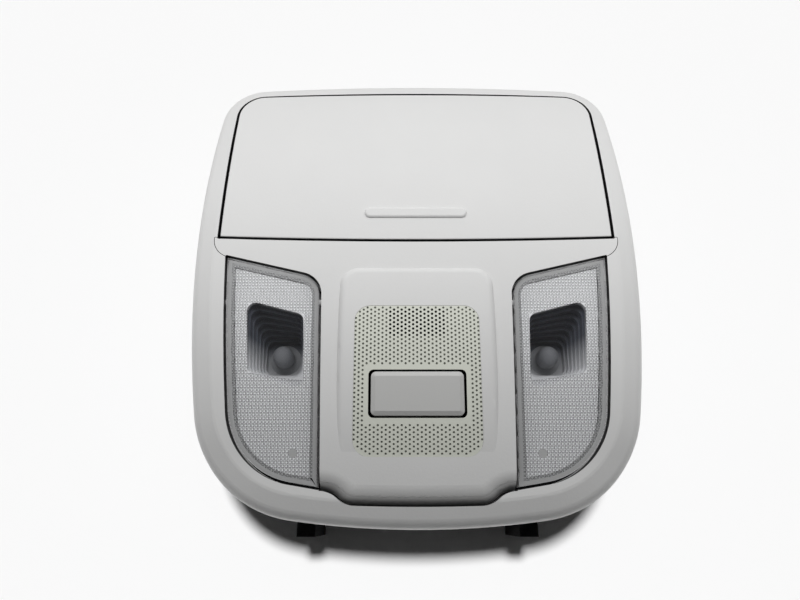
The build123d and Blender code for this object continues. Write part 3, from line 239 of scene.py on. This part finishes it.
# slow change of tone over a moulding
tonalDrift, driftIn, driftOut = newGroup(
    "tonalDrift", [("Vector", "NodeSocketVector"), ("Colour", "NodeSocketColor"),
                   ("Scale", "NodeSocketFloat"), ("Amount", "NodeSocketFloat")],
    [("Colour", "NodeSocketColor")])
cloud = noiseNode(tonalDrift, driftIn.outputs["Vector"], driftIn.outputs["Scale"],
                  shared["cloudDetail"], shared["cloudRoughness"])
swing = mathNode(tonalDrift, "MULTIPLY", mathNode(tonalDrift, "SUBTRACT", cloud, shared["noiseMiddle"]),
                 driftIn.outputs["Amount"])
tint = vectorNode(tonalDrift, "SCALE", driftIn.outputs["Colour"])
tonalDrift.links.new(mathNode(tonalDrift, "ADD", swing, 1.0), tint.inputs["Scale"])
tonalDrift.links.new(tint.outputs[0], driftOut.inputs["Colour"])

# handling: thin rubbed streaks that change the gloss a little
handling, handlingIn, handlingOut = newGroup(
    "handling", [("Vector", "NodeSocketVector"), ("Scale", "NodeSocketFloat"),
                 ("Base", "NodeSocketFloat"), ("Swing", "NodeSocketFloat")],
    [("Roughness", "NodeSocketFloat")])
streaks = handling.nodes.new("ShaderNodeMapping")
streaks.inputs["Rotation"].default_value = shared["streakTurn"]
streaks.inputs["Scale"].default_value = shared["streakStretch"]
handling.links.new(handlingIn.outputs["Vector"], streaks.inputs["Vector"])
rub = noiseNode(handling, streaks.outputs[0], handlingIn.outputs["Scale"],
                shared["rubDetail"], shared["rubRoughness"])
marks = spread(handling, rub, *shared["rubFrom"], 0.0, 1.0)
patch = noiseNode(handling, handlingIn.outputs["Vector"], handlingIn.outputs["Scale"])
gloss = mathNode(handling, "ADD", mathNode(handling, "SUBTRACT", patch, shared["noiseMiddle"]), marks)
handling.links.new(
    mathNode(handling, "ADD", handlingIn.outputs["Base"],
             mathNode(handling, "MULTIPLY", gloss, handlingIn.outputs["Swing"])),
    handlingOut.inputs["Roughness"])

# how far a point lies under one of the crowned faces, as a mask between two depths
archDepth, depthIn, depthOut = newGroup(
    "archDepth", [("Vector", "NodeSocketVector"), ("Axis", "NodeSocketVector"),
                  ("Radius", "NodeSocketFloat"), ("Start", "NodeSocketFloat"),
                  ("End", "NodeSocketFloat")],
    [("Mask", "NodeSocketFloat")])
fromAxis = vectorNode(archDepth, "SUBTRACT", depthIn.outputs["Vector"], depthIn.outputs["Axis"])
acrossAxis = vectorNode(archDepth, "MULTIPLY", fromAxis.outputs["Vector"], (0, 1, 1))
ring = vectorNode(archDepth, "LENGTH", acrossAxis.outputs["Vector"])
under = mathNode(archDepth, "SUBTRACT", depthIn.outputs["Radius"], ring.outputs["Value"])
archDepth.links.new(spread(archDepth, under, depthIn.outputs["Start"], depthIn.outputs["End"], 0.0, 1.0),
                    depthOut.inputs["Mask"])


def placeGroup(tree, group, **values):
    node = tree.nodes.new("ShaderNodeGroup")
    node.node_tree = group
    for socketName, value in values.items():
        feed(tree, node.inputs[socketName], value)
    return node.outputs


def archMask(tree, vector, arch, start, end):
    axis = (0, arch["apexY"] * mm, (arch["apexZ"] - arch["radius"]) * mm)
    return placeGroup(tree, archDepth, Vector=vector, Axis=axis, Radius=arch["radius"] * mm,
                      Start=start * mm, End=end * mm)["Mask"]


def blendColours(tree, factor, first, second):
    node = tree.nodes.new("ShaderNodeMix")
    node.data_type = "RGBA"
    feed(tree, node.inputs["Factor"], factor)
    for socket, colour in ((node.inputs[6], first), (node.inputs[7], second)):   # its two colour sockets
        feed(tree, socket, colour if isinstance(colour, bpy.types.NodeSocket) else (*colour, 1))
    return node.outputs[2]


def mouldedFinish(name, colour, roughness, grain=900.0, relief=0.00004, drift=0.05, swing=0.08, **sockets):
    material = bpy.data.materials.new(name)
    material.use_nodes = True
    tree = material.node_tree
    shader = tree.nodes["Principled BSDF"]
    place = tree.nodes.new("ShaderNodeTexCoord").outputs["Object"]
    tone = placeGroup(tree, tonalDrift, Vector=place, Colour=(*colour, 1), Scale=shared["driftScale"],
                      Amount=drift)
    tree.links.new(tone["Colour"], shader.inputs["Base Color"])
    touch = placeGroup(tree, handling, Vector=place, Scale=shared["touchScale"], Base=roughness,
                       Swing=swing)
    tree.links.new(touch["Roughness"], shader.inputs["Roughness"])
    bump = tree.nodes.new("ShaderNodeBump")
    bump.inputs["Strength"].default_value = shared["bumpStrength"]
    bump.inputs["Distance"].default_value = relief
    height = placeGroup(tree, mouldGrain, Vector=place, Scale=grain)
    tree.links.new(height["Height"], bump.inputs["Height"])
    tree.links.new(bump.outputs[0], shader.inputs["Normal"])
    for socketName, value in sockets.items():
        shader.inputs[socketName.replace("_", " ")].default_value = value
    return material


# painted shade in the gaps between the face's mouldings and on the rounded edges beside them, depths in
# millimetres
paintedGapShade = {
    "edge": (0.05, 0.25), "edgeLast": 1.5, "edgeSteep": (0.85, 0.55),   # rounded edges
    "wall": (0.6, 1.4), "wallLast": 6.0, "wallSteep": 0.2,              # upright walls
    # how fast the painted shade fades out, and its near-black colour
    "fade": 0.1, "colour": (0.03, 0.03, 0.031),
}


def paintGapShade(material, inwardOnly):
    tree = material.node_tree
    shader = tree.nodes["Principled BSDF"]
    place = tree.nodes["Texture Coordinate"].outputs["Object"]
    facing = tree.nodes.new("ShaderNodeSeparateXYZ")
    normal = tree.nodes.new("ShaderNodeNewGeometry").outputs["True Normal"]
    tree.links.new(normal, facing.inputs[0])
    flat = mathNode(tree, "ABSOLUTE", facing.outputs["Z"])

    def layer(depths, last):
        return mathNode(tree, "SUBTRACT", archMask(tree, place, faceArch, *depths),
                        archMask(tree, place, faceArch, last, last + paintedGapShade["fade"]))

    wall = mathNode(tree, "MULTIPLY", mathNode(tree, "LESS_THAN", flat, paintedGapShade["wallSteep"]),
                    layer(paintedGapShade["wall"], paintedGapShade["wallLast"]))
    edge = mathNode(tree, "MULTIPLY", spread(tree, flat, *paintedGapShade["edgeSteep"], 0.0, 1.0),
                    layer(paintedGapShade["edge"], paintedGapShade["edgeLast"]))
    mask = mathNode(tree, "MAXIMUM", wall, edge)
    if inwardOnly:    # the bezel's outer wall gets no painted shade
        sideways = vectorNode(tree, "MULTIPLY", place, (1, 1, 0))
        outward = vectorNode(tree, "DOT_PRODUCT", sideways.outputs["Vector"], normal)
        inward = mathNode(tree, "LESS_THAN", outward.outputs["Value"], 0.0)
        mask = mathNode(tree, "MULTIPLY", mask, inward)
    # painted shade: gap walls and the rounded edges beside them are mixed towards near black
    unshaded = shader.inputs["Base Color"].links[0].from_socket
    shaded = blendColours(tree, mask, unshaded, paintedGapShade["colour"])
    tree.links.new(shaded, shader.inputs["Base Color"])


# one entry for each plain finish
finishes = {
    "facePlastic": {"colour": (0.72, 0.72, 0.715), "roughness": 0.42},
    "rockerPlastic": {"colour": (0.56, 0.56, 0.55), "roughness": 0.36, "relief": 0.00002},
    "trayPlastic": {"colour": (0.60, 0.60, 0.595), "roughness": 0.5},
    "housingPlastic": {"colour": (0.006, 0.006, 0.0066), "roughness": 0.6, "relief": 0.00008,
                       "Specular_IOR_Level": 0.08},
    "socketPlastic": {"colour": (0.34, 0.345, 0.36), "roughness": 0.5},
    "frostedPlastic": {"colour": (0.44, 0.44, 0.44), "roughness": 0.5},
    "plugPlastic": {"colour": (0.75, 0.74, 0.70), "roughness": 0.4},
    "damperPlastic": {"colour": (0.70, 0.69, 0.64), "roughness": 0.35},
    "softRubber": {"colour": (0.03, 0.03, 0.03), "roughness": 0.75, "grain": 500.0},
    "springSteel": {"colour": (0.56, 0.55, 0.53), "roughness": 0.32, "drift": 0.12, "Metallic": 1.0},
    "metalCan": {"colour": (0.06, 0.06, 0.065), "roughness": 0.5, "drift": 0.08, "Metallic": 1.0},
    "trayFelt": {"colour": (0.03, 0.03, 0.032), "roughness": 0.9, "grain": 1500.0, "relief": 0.0003,
                 "drift": 0.4, "Sheen_Weight": 0.4},
    "boardLaminate": {"colour": (0.02, 0.10, 0.05), "roughness": 0.35, "drift": 0.2},
}
finishMaterial = {name: mouldedFinish(name, **values) for name, values in finishes.items()}
finishMaterial["bezelPlastic"] = mouldedFinish("bezelPlastic", **finishes["facePlastic"])
paintGapShade(finishMaterial["facePlastic"], inwardOnly=False)
paintGapShade(finishMaterial["bezelPlastic"], inwardOnly=True)
print("plain finishes ready:", len(finishMaterial))


# clear lens plastic, its frosted skirt, the reflectors and the bulbs

clearParts = {
    "lensColour": (0.96, 0.97, 0.98), "lensIor": 1.58,
    "lensRoughness": 0.04, "lensSwing": 0.04, "lensTouchScale": 70.0,
    "skirt": {"colour": (0.66, 0.66, 0.66), "roughness": 0.55, "relief": 0.000004, "drift": 0.02},
    # the prism flanks are tinted near black, painted shade for the dark lines between the cells
    "flankShadeTint": (0.008, 0.008, 0.009), "flankPale": (0.10, 0.10, 0.102), "flankIor": 1.08,
    "flankDarkY": -44.0, "flankPaleY": -14.0,   # painted light: the prism flanks are painted paler towards the strip light
    "reflector": {"colour": (0.93, 0.93, 0.94), "roughness": 0.35},
    # near-black colour of the painted shade inside the reflector wells
    "wellShadeColour": (0.085, 0.092, 0.115),
    "wellStart": 6.2, "wellEnd": 8.5,           # depths under the face where the painted shade of the wells begins and is full, millimetres
    "wellDark": -28.0, "wellPale": -44.0, "wellLeast": 0.25,   # painted shade: the well is darker towards the back and paler towards the front
    "bulbColour": (0.22, 0.225, 0.24, 1),
    "bulbRoughness": 0.45, "bulbSwing": 0.1, "bulbTouchScale": 200.0,
}
lensPlastic = bpy.data.materials.new("lensPlastic")
lensPlastic.use_nodes = True
lensTree = lensPlastic.node_tree
lensShader = lensTree.nodes["Principled BSDF"]
lensShader.inputs["Transmission Weight"].default_value = 1.0
lensShader.inputs["IOR"].default_value = clearParts["lensIor"]
lensShader.inputs["Base Color"].default_value = (*clearParts["lensColour"], 1)
lensPlace = lensTree.nodes.new("ShaderNodeTexCoord").outputs["Object"]
lensTouch = placeGroup(lensTree, handling, Vector=lensPlace, Scale=clearParts["lensTouchScale"],
                       Base=clearParts["lensRoughness"], Swing=clearParts["lensSwing"])
lensTree.links.new(lensTouch["Roughness"], lensShader.inputs["Roughness"])

lensSkirt = mouldedFinish("lensSkirt", **clearParts["skirt"])
lensFlank = lensPlastic.copy()
lensFlank.name = "lensFlank"
flankTree = lensFlank.node_tree
flankShader = flankTree.nodes["Principled BSDF"]
# painted shade on the prism flanks, turning paler towards the strip light as painted light
flankAlong = flankTree.nodes.new("ShaderNodeSeparateXYZ")
flankTree.links.new(flankTree.nodes["Texture Coordinate"].outputs["Object"], flankAlong.inputs[0])
flankPaintedLight = spread(flankTree, flankAlong.outputs["Y"], clearParts["flankDarkY"] * mm,
                   clearParts["flankPaleY"] * mm, 0.0, 1.0)
flankTree.links.new(blendColours(flankTree, flankPaintedLight, clearParts["flankShadeTint"], clearParts["flankPale"]),
                    flankShader.inputs["Base Color"])
flankShader.inputs["IOR"].default_value = clearParts["flankIor"]

reflectorFilm = mouldedFinish("reflectorFilm", **clearParts["reflector"])
filmTree = reflectorFilm.node_tree
filmShader = filmTree.nodes["Principled BSDF"]
filmPlace = filmTree.nodes["Texture Coordinate"].outputs["Object"]
filmAlong = filmTree.nodes.new("ShaderNodeSeparateXYZ")
filmTree.links.new(filmPlace, filmAlong.inputs[0])
# painted shade: the reflector film darkens deep in the wells, most towards the back
wellShadeDepth = archMask(filmTree, filmPlace, faceArch, clearParts["wellStart"], clearParts["wellEnd"])
wellShadeFade = spread(filmTree, filmAlong.outputs["Y"], clearParts["wellPale"] * mm,
                  clearParts["wellDark"] * mm, clearParts["wellLeast"], 1.0)
wellShadeMask = mathNode(filmTree, "MULTIPLY", wellShadeDepth, wellShadeFade)
filmShadedColour = blendColours(filmTree, wellShadeMask, filmShader.inputs["Base Color"].links[0].from_socket,
                          clearParts["wellShadeColour"])
filmTree.links.new(filmShadedColour, filmShader.inputs["Base Color"])

bulbGlass = bpy.data.materials.new("bulbGlass")
bulbGlass.use_nodes = True
bulbTree = bulbGlass.node_tree
bulbShader = bulbTree.nodes["Principled BSDF"]
bulbShader.inputs["Base Color"].default_value = clearParts["bulbColour"]
bulbPlace = bulbTree.nodes.new("ShaderNodeTexCoord").outputs["Object"]
bulbTouch = placeGroup(bulbTree, handling, Vector=bulbPlace, Scale=clearParts["bulbTouchScale"],
                       Base=clearParts["bulbRoughness"], Swing=clearParts["bulbSwing"])
bulbTree.links.new(bulbTouch["Roughness"], bulbShader.inputs["Roughness"])
print("clear finishes ready")


# tools for pieces cut from a copy of a solid

mergeDistance = 0.000002   # metres


def activate(piece):
    deselectAll()
    piece.select_set(True)
    bpy.context.view_layer.objects.active = piece


def copyNode(nodeName, pieceName):
    piece = bpy.data.objects.new(pieceName, nodes[nodeName].data.copy())
    bpy.context.scene.collection.objects.link(piece)
    piece.data.materials.clear()
    activate(piece)
    bpy.ops.mesh.customdata_custom_splitnormals_clear()
    bpy.ops.object.mode_set(mode="EDIT")
    bpy.ops.mesh.select_all(action="SELECT")
    bpy.ops.mesh.remove_doubles(threshold=mergeDistance)
    bpy.ops.object.mode_set(mode="OBJECT")
    return piece


def selectFaces(piece, wanted):
    activate(piece)
    bpy.ops.object.mode_set(mode="EDIT")
    bpy.ops.mesh.select_mode(type="FACE")
    bpy.ops.mesh.select_all(action="DESELECT")
    bpy.ops.object.mode_set(mode="OBJECT")
    for face in piece.data.polygons:
        face.select = wanted(face)
    bpy.ops.object.mode_set(mode="EDIT")


def cutSheet(nodeName, sheetName, unwanted, inset):    # stays in edit mode
    sheet = copyNode(nodeName, sheetName)
    selectFaces(sheet, unwanted)
    bpy.ops.mesh.delete(type="FACE")
    bpy.ops.mesh.select_all(action="SELECT")
    bpy.ops.mesh.inset(thickness=inset * mm)
    bpy.ops.mesh.select_all(action="INVERT")
    bpy.ops.mesh.delete(type="FACE")
    return sheet


def thicken(piece, thickness, offset):
    thick = piece.modifiers.new("thick", "SOLIDIFY")
    thick.thickness = thickness * mm
    thick.offset = offset
    activate(piece)
    bpy.ops.object.modifier_apply(modifier=thick.name)


def joinTo(piece, extra):
    activate(extra)
    piece.select_set(True)
    bpy.context.view_layer.objects.active = piece
    bpy.ops.object.join()


def depthUnderFace(point):
    return archHeight(faceArch, point.y / mm) - point.z / mm


def cutWith(piece, cutter, operation):
    cut = piece.modifiers.new("cut", "BOOLEAN")
    cut.operation = operation
    cut.solver = "EXACT"
    cut.object = cutter
    activate(piece)
    bpy.ops.object.modifier_apply(modifier=cut.name)
    bpy.data.objects.remove(cutter)


def repeat(piece, count, step):
    row = piece.modifiers.new("row", "ARRAY")
    row.count = count
    row.use_relative_offset = False
    row.use_constant_offset = True
    row.constant_offset_displace = step
    activate(piece)
    bpy.ops.object.modifier_apply(modifier=row.name)


# reading lamp lenses: square pillow prisms in the underside, a plain border round them

prismLens = {
    "pitch": 1.52, "foot": 1.42, "crown": 0.86,   # spacing and widths of one recess, mm
    "rise": 0.25, "start": 0.12,                  # height into the wall, start below it
    "wall": 2.4, "border": 0.4,                   # roof of the lens, plain strip inside the skirt
    "window": [(76.6, -15.0), (50.9, -20.4), (50.2, -50.8), (74.6, -47.4)],   # clear patch over the bulb
    "windowY": -34.0, "windowThick": 12.0, "fieldThick": 5.0,   # blocks that trim the recesses
    "ringDepth": 2.65, "ringWidth": 3.0, "ringInset": 0.25,     # frosted border over the skirt
    "rodMargin": 0.5, "rodDepth": 2.5,            # frosted root of the push rod
    "collar": 1.8, "collarDepth": 2.9,            # collar of reflector film round it
    "discThick": 0.25, "discSides": 32, "rodTip": 0.1,
    "levelFrom": 0.9, "flankFrom": 0.3,           # least z of a level face's normal, and of a flank's
    "roofWithin": 0.4, "topWithin": 0.5, "skirtBelow": 0.3,     # how a face is told by its depth
    "smoothAngle": 25,
}


def prismField(nodeName):
    field = cutSheet(nodeName, "prismField", lambda face: face.normal.z > -prismLens["levelFrom"]
                     or abs(depthUnderFace(face.center) - prismLens["wall"]) > prismLens["roofWithin"],
                     prismLens["border"])
    bpy.ops.object.mode_set(mode="OBJECT")
    thicken(field, prismLens["fieldThick"], 0.0)
    return field


def clearWindow():
    middle = archHeight(faceArch, prismLens["windowY"]) * mm
    patch = bpy.data.meshes.new("clearWindow")
    patch.from_pydata([(x * mm, y * mm, middle) for x, y in prismLens["window"]], [], [(0, 1, 2, 3)])
    window = bpy.data.objects.new("clearWindow", patch)
    bpy.context.scene.collection.objects.link(window)
    thicken(window, prismLens["windowThick"], 0.0)
    return window


def prismCutter(nodeName):
    low, high = (Vector(corner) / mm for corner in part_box(nodeName))
    pitch = prismLens["pitch"]
    columns = math.ceil((high.x - low.x) / pitch)
    rows = math.ceil((high.y - low.y) / pitch)
    tall = prismLens["start"] + prismLens["rise"]
    foot, crown = (prismLens[end] / math.sqrt(2) * mm for end in ("foot", "crown"))
    deselectAll()
    bpy.ops.mesh.primitive_cone_add(    # four sides, turned square to the lens
        vertices=4, radius1=foot, radius2=crown, depth=tall * mm, rotation=(0, 0, math.radians(45)),
        location=((low.x + pitch / 2) * mm, (low.y + pitch / 2) * mm, tall / 2 * mm))
    cutter = bpy.context.object
    bpy.ops.object.transform_apply(location=True, rotation=True, scale=True)
    repeat(cutter, columns, (pitch * mm, 0, 0))
    repeat(cutter, rows, (0, pitch * mm, 0))
    for vertex in cutter.data.vertices:    # follow the crown of the face
        roof = archHeight(faceArch, vertex.co.y / mm) - prismLens["wall"]
        vertex.co.z += (roof - prismLens["start"]) * mm
    return cutter


def addDisc(piece, x, y, radius, depth, finish):
    top = archHeight(faceArch, y / mm) * mm - depth * mm
    deselectAll()
    bpy.ops.mesh.primitive_cylinder_add(
        vertices=prismLens["discSides"], radius=radius, depth=prismLens["discThick"] * mm,
        location=(x, y, top - prismLens["discThick"] / 2 * mm))
    disc = bpy.context.object
    bpy.ops.object.transform_apply(location=True, rotation=True, scale=True)
    disc.data.materials.append(finish)
    joinTo(piece, disc)


def addCollar(piece):
    lowest = min(vertex.co.z for vertex in piece.data.vertices)
    tip = [vertex.co for vertex in piece.data.vertices if vertex.co.z < lowest + prismLens["rodTip"] * mm]
    x, y = (sum(point[axis] for point in tip) / len(tip) for axis in (0, 1))
    rod = max(math.hypot(point.x - x, point.y - y) for point in tip)
    addDisc(piece, x, y, rod + prismLens["rodMargin"] * mm, prismLens["rodDepth"],
            finishMaterial["frostedPlastic"])
    addDisc(piece, x, y, rod + prismLens["collar"] * mm, prismLens["collarDepth"], reflectorFilm)


def addBorder(piece, nodeName):
    border = cutSheet(nodeName, "lensBorder", lambda face: face.normal.z < prismLens["levelFrom"]
                      or depthUnderFace(face.center) > prismLens["topWithin"], prismLens["ringInset"])
    bpy.ops.mesh.select_all(action="SELECT")
    bpy.ops.mesh.inset(thickness=prismLens["ringWidth"] * mm)
    bpy.ops.mesh.delete(type="FACE")
    bpy.ops.mesh.select_all(action="SELECT")
    bpy.ops.transform.translate(value=(0, 0, -prismLens["ringDepth"] * mm))
    bpy.ops.object.mode_set(mode="OBJECT")
    thicken(border, prismLens["discThick"], -1.0)
    border.data.materials.append(finishMaterial["frostedPlastic"])
    joinTo(piece, border)


def finishLens(piece, nodeName):
    for finish in (lensPlastic, lensSkirt, lensFlank):
        piece.data.materials.append(finish)
    clear, skirt, flank = range(3)
    for face in piece.data.polygons:
        if depthUnderFace(face.center) > prismLens["wall"] + prismLens["skirtBelow"]:
            face.material_index = skirt
        elif -prismLens["levelFrom"] < face.normal.z < -prismLens["flankFrom"]:
            face.material_index = flank
        else:
            face.material_index = clear
    addCollar(piece)
    addBorder(piece, nodeName)
    activate(piece)
    bpy.ops.object.shade_smooth_by_angle(angle=math.radians(prismLens["smoothAngle"]))
    piece.visible_shadow = False     # light reaches the reflector through the clear plastic
    piece.visible_diffuse = False
    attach(piece, nodeName)
    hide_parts(nodeName)


rightLens = copyNode("lens_right", "prismLensRight")
prisms = prismCutter("lens_right")
cutWith(prisms, prismField("lens_right"), "INTERSECT")
cutWith(prisms, clearWindow(), "DIFFERENCE")
cutWith(rightLens, prisms, "DIFFERENCE")
leftLens = bpy.data.objects.new("prismLensLeft", rightLens.data.copy())
bpy.context.scene.collection.objects.link(leftLens)
activate(leftLens)
bpy.ops.object.mode_set(mode="EDIT")
bpy.ops.mesh.select_all(action="SELECT")
bpy.ops.transform.resize(value=(-1, 1, 1), center_override=(0, 0, 0))
bpy.ops.mesh.normals_make_consistent(inside=False)
bpy.ops.object.mode_set(mode="OBJECT")
finishLens(rightLens, "lens_right")
finishLens(leftLens, "lens_left")
print("lenses cut:", len(rightLens.data.polygons), "faces each")


# microphone grille plate: shallow dimples on the lattice of its through holes

dimpledPlate = {
    "columnStep": 1.70, "rowStep": 1.96,          # odd columns sit half a row off, mm
    "ball": 0.60, "lift": 0.18,                   # ball that presses each dimple, its centre over the face
    "ballSplits": 2,
    "size": (55.4, 65.6), "corner": 7.0, "margin": 0.35,
    "centreY": -50.4, "sunk": 0.15,
    "window": (42.5, 20.7), "windowY": -6.65, "windowBorder": (1.5, 2.4),
    "holesY": 25.0,                               # middle row of the through holes, which get a dimple too
    "finish": {"colour": (0.72, 0.735, 0.66), "roughness": 0.45, "relief": 0.00002},
    "pitShadeColour": (0.12, 0.125, 0.105), "pitDepths": (0.22, 0.42),   # painted shade in the dimples, between these depths in mm under the pad's crown
    "smoothAngle": 35,
}


def insideRounded(x, y, width, length, corner):
    dx = abs(x) - (width / 2 - corner)
    dy = abs(y) - (length / 2 - corner)
    return math.hypot(max(dx, 0), max(dy, 0)) + min(max(dx, dy), 0) <= corner


def dimpleSpots(plate):
    width, length = plate["size"]
    trim = 2 * plate["margin"]
    borderX, borderY = plate["windowBorder"]
    columns = math.ceil(width / 2 / plate["columnStep"])
    rows = math.ceil(length / plate["rowStep"])
    spots = []
    for column in range(-columns, columns + 1):
        x = column * plate["columnStep"]
        for row in range(-rows, rows + 1):
            y = plate["holesY"] + (row + 0.5 * (column % 2)) * plate["rowStep"]
            if not insideRounded(x, y, width - trim, length - trim, plate["corner"] - plate["margin"]):
                continue
            if (abs(x) < plate["window"][0] / 2 + borderX
                    and abs(y - plate["windowY"]) < plate["window"][1] / 2 + borderY):
                continue
            spots.append((x, y))
    return spots


def dimpleCutter(plate):
    lean = -(plate["centreY"] - padArch["apexY"]) / padArch["radius"]
    tilt = math.asin(lean)    # the plate lies square to the pad's crown
    centreZ = archHeight(padArch, plate["centreY"])
    deselectAll()
    bpy.ops.mesh.primitive_ico_sphere_add(subdivisions=plate["ballSplits"], radius=plate["ball"] * mm)
    ball = bpy.context.object
    balls = []
    for x, y in dimpleSpots(plate):
        sag = math.sqrt(padArch["radius"] ** 2 - y ** 2) - padArch["radius"] - plate["sunk"] + plate["lift"]
        copy = bpy.data.objects.new("dimple", ball.data.copy())
        copy.location = (x * mm, (plate["centreY"] + y * math.cos(tilt) - sag * math.sin(tilt)) * mm,
                         (centreZ + y * math.sin(tilt) + sag * math.cos(tilt)) * mm)
        bpy.context.scene.collection.objects.link(copy)
        balls.append(copy)
    deselectAll()
    for copy in balls:
        copy.select_set(True)
    bpy.context.view_layer.objects.active = balls[0]
    bpy.ops.object.join()
    bpy.data.objects.remove(ball)
    return balls[0], len(balls)


plateFinish = mouldedFinish("platePlastic", **dimpledPlate["finish"])
plateTree = plateFinish.node_tree
plateShader = plateTree.nodes["Principled BSDF"]
platePlace = plateTree.nodes["Texture Coordinate"].outputs["Object"]
# painted shade: the plate colour darkens inside its dimples
dimpleShadeMask = archMask(plateTree, platePlace, padArch, *dimpledPlate["pitDepths"])
plateShadedColour = blendColours(plateTree, dimpleShadeMask, plateShader.inputs["Base Color"].links[0].from_socket,
                           dimpledPlate["pitShadeColour"])
plateTree.links.new(plateShadedColour, plateShader.inputs["Base Color"])

grille = copyNode("grille_plate", "dimpledGrille")
pits, pitCount = dimpleCutter(dimpledPlate)
cutWith(grille, pits, "DIFFERENCE")
grille.data.materials.append(plateFinish)
activate(grille)
bpy.ops.object.shade_smooth_by_angle(angle=math.radians(dimpledPlate["smoothAngle"]))
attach(grille, "console")
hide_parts("grille_plate")
print("grille pressed:", pitCount, "dimples,", len(grille.data.polygons), "faces")


# finishes on the solids

slotFinish = {
    "face_plastic": finishMaterial["facePlastic"], "plate_plastic": plateFinish,
    "rocker_plastic": finishMaterial["rockerPlastic"], "lens_plastic": lensPlastic,
    "housing_plastic": finishMaterial["housingPlastic"], "reflector_plastic": reflectorFilm,
    "bulb_glass": bulbGlass, "socket_plastic": finishMaterial["socketPlastic"],
    "board_laminate": finishMaterial["boardLaminate"], "soft_rubber": finishMaterial["softRubber"],
    "metal_can": finishMaterial["metalCan"], "plug_plastic": finishMaterial["plugPlastic"],
    "spring_steel": finishMaterial["springSteel"], "tray_felt": finishMaterial["trayFelt"],
    "damper_plastic": finishMaterial["damperPlastic"],
}
nodeFinish = {"lid_tray": finishMaterial["trayPlastic"], "outer_bezel": finishMaterial["bezelPlastic"]}
for part in frame["record"]["subparts"]:
    node = nodes[part["node"]]
    node.data.materials.clear()
    node.data.materials.append(nodeFinish.get(part["node"], slotFinish[part["material_slot"]]))
